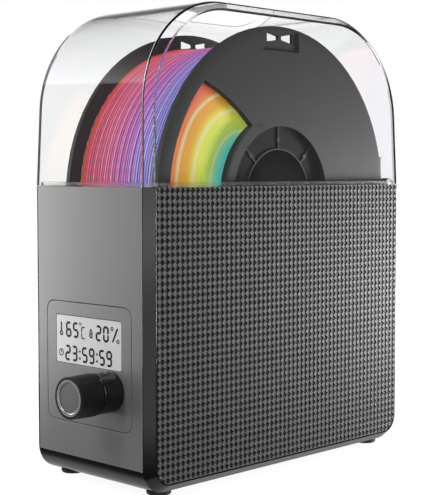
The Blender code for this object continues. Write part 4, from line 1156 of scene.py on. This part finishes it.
# Heights above the strand's path: over the first run painted shade gives way to the strand's colour, and
# over the second a painted highlight comes in.
STRAND_SHADE_RUN = (0.0002, 0.0007)
PAINTED_GLINT_RUN = (0.0006, 0.0009)
PACK_STEPS = 120
RIDGE = 0.00045
RIDGE_STEPS = 4
HUB_GAP = 0.0003
UNDER_STRAND = 0.0006
LIP_RADIUS = 0.0917
LIP = 0.0003
LIP_FADE = (0.0002, 0.0005)
SPIRAL = 0.034
SPIRAL_END = 2.72
SPIRAL_DRIFT = 0.004
PALE_TURNS = ((0.22, 0.25, 0.29), (0.52, 0.56, 0.60), (0.79, 0.83, 0.87))
PALE_LEVEL = 0.8

core_low, core_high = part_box("filament_core")
wound_low, wound_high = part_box("filament_winding")
wound_radius = (wound_high.z - wound_low.z) / 2 + EXTRA_LAYER
path_radius = wound_radius - STRAND / 2
hub_low, hub_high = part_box("spool_hub")
hub_radius = (hub_high.z - hub_low.z) / 2


def outer_colours(place):
    """Red at the far flange, through pink and violet, to blue at the near one, with painted shade low
    between the turns and a painted highlight on each crest.
    """
    share = place.part("X").between(core_low.x, core_high.x)
    hue = share.node("ValToRGB", {"Fac": share}, stops=(
        (0.0, (1.0, 0.13, 0.20)), (0.28, (1.0, 0.22, 0.40)), (0.50, (0.70, 0.20, 0.62)),
        (0.70, (0.46, 0.36, 0.92)), (1.0, (0.30, 0.40, 1.0)),
    ))
    grain = noise(place, 260.0, 3.0)
    # Painted shade low on each turn and a painted highlight on its crest, both set by height above the
    # strand's path.
    height = from_axis(place) - path_radius
    shade_to_crest = height.between(*STRAND_SHADE_RUN)
    painted_glint = height.between(*PAINTED_GLINT_RUN)
    painted_shade_hue = share.node("VectorMath", {0: hue, 1: (0.26, 0.22, 0.32)}, operation="MULTIPLY")
    pale = painted_glint.mix(hue, (0.5 * painted_glint).mix(hue, (1.0, 0.86, 0.95)))
    return {"Base Color": shade_to_crest.mix(painted_shade_hue, pale), "Roughness": 0.42 + 0.12 * grain}


def layer_colours(place):
    """Bands by distance from the axis, with a few pale turns between them and a crimson lip."""
    drift = noise(place, 14.0) - 0.5
    along, up = across_axis(place)
    lead = place.math("MAXIMUM", SPIRAL_END - place.math("ARCTAN2", up, along), 0.0)
    spiral = from_axis(place) + SPIRAL * lead * lead + SPIRAL_DRIFT * drift
    share = spiral.between(hub_radius, wound_radius)
    hue = share.node("ValToRGB", {"Fac": share}, stops=(
        (0.0, (0.25, 0.80, 0.98)), (0.10, (0.12, 0.80, 0.74)), (0.22, (0.34, 0.90, 0.44)),
        (0.30, (0.62, 0.94, 0.16)), (0.46, (0.90, 0.98, 0.09)), (0.58, (1.0, 0.92, 0.10)),
        (0.68, (1.0, 0.52, 0.03)), (0.84, (1.0, 0.38, 0.04)), (0.93, (1.0, 0.24, 0.09)),
        (1.0, (0.95, 0.17, 0.11)),
    ))
    levels = [(0.0, 0.0)]
    for start, middle, end in PALE_TURNS:
        levels += [(start, 0.0), (middle, PALE_LEVEL), (end, 0.0)]
    levels.append((1.0, 0.0))
    pale = share.node("ValToRGB", {"Fac": share}, stops=[(at, (level,) * 3) for at, level in levels])
    edge = (from_axis(place) - wound_radius).between(*LIP_FADE)
    bands = pale.mix(hue, (1.0, 0.95, 0.55))
    return {"Base Color": edge.mix(bands, (0.50, 0.06, 0.11)), "Roughness": 0.5}


OUTER_STRAND = finish("filament_outer", outer_colours, constants={"Specular IOR Level": 0.3})
LAYERS = finish("filament_layers", layer_colours, constants={"Specular IOR Level": 0.25})

turns = int((core_high.x - core_low.x) / LOOSE_PITCH)
curve = bpy.data.curves.new("filament_strand", "CURVE")
curve.dimensions = "3D"
curve.bevel_depth = STRAND / 2
curve.bevel_resolution = 2
curve.use_fill_caps = True
spline = curve.splines.new("POLY")
spline.points.add(turns * STEPS_PER_TURN)
first = core_low.x + STRAND / 2
pitch = (core_high.x - core_low.x - STRAND) / turns
for i, point in enumerate(spline.points):
    turn = i / STEPS_PER_TURN
    angle = 2 * math.pi * turn
    stray = STRAY * math.sin(STRAY_BEATS[0] * turn) * math.sin(STRAY_BEATS[1] * turn + 1.0)
    x = first + pitch * turn + stray
    r = path_radius - SAG * (1.0 + math.sin(SAG_BEAT * turn))
    point.co = (x, axis.y + r * math.cos(angle), axis.z + r * math.sin(angle), 1.0)
strand = bpy.data.objects.new("filament_strand", curve)
bpy.context.scene.collection.objects.link(strand)
only(strand)
bpy.ops.object.convert(target="MESH")
strand = bpy.context.object
bpy.ops.object.shade_smooth()
wear(strand, OUTER_STRAND)
fit(strand, "spool", "filament", "filament_winding")

layers = int((path_radius - hub_radius) / STRAND)
inner_radius = hub_radius + HUB_GAP
profile = []
for side, face in ((1, core_low.x), (-1, core_high.x)):
    groove = face + side * RIDGE
    wall = [(inner_radius, groove)]
    for layer in range(layers):
        for step in range(RIDGE_STEPS):
            share = (step + 0.5) / RIDGE_STEPS
            wave = math.sin(math.pi * share)
            wall.append((inner_radius + STRAND * (layer + share), face + side * RIDGE * (1.0 - wave)))
    wall += [(LIP_RADIUS, face), (LIP_RADIUS, face + side * LIP), (path_radius - UNDER_STRAND, groove)]
    profile += wall if side == 1 else wall[::-1]
mesh = bpy.data.meshes.new("filament_layers")
corners = [(x, axis.y, axis.z + r) for r, x in profile]
mesh.from_pydata(corners, [(i, (i + 1) % len(corners)) for i in range(len(corners))], [])
pack = bpy.data.objects.new("filament_layers", mesh)
bpy.context.scene.collection.objects.link(pack)
only(pack)
bpy.ops.object.mode_set(mode="EDIT")
bpy.ops.mesh.select_all(action="SELECT")
bpy.ops.mesh.spin(steps=PACK_STEPS, angle=2 * math.pi, center=(0.0, axis.y, axis.z), axis=(1.0, 0.0, 0.0))
bpy.ops.mesh.select_all(action="SELECT")
bpy.ops.mesh.remove_doubles(threshold=WELD)
bpy.ops.mesh.normals_make_consistent(inside=False)
bpy.ops.object.mode_set(mode="OBJECT")
bpy.ops.object.shade_smooth_by_angle(angle=math.radians(60.0))
wear(pack, LAYERS)
fit(pack, "spool", "filament", "filament_core")
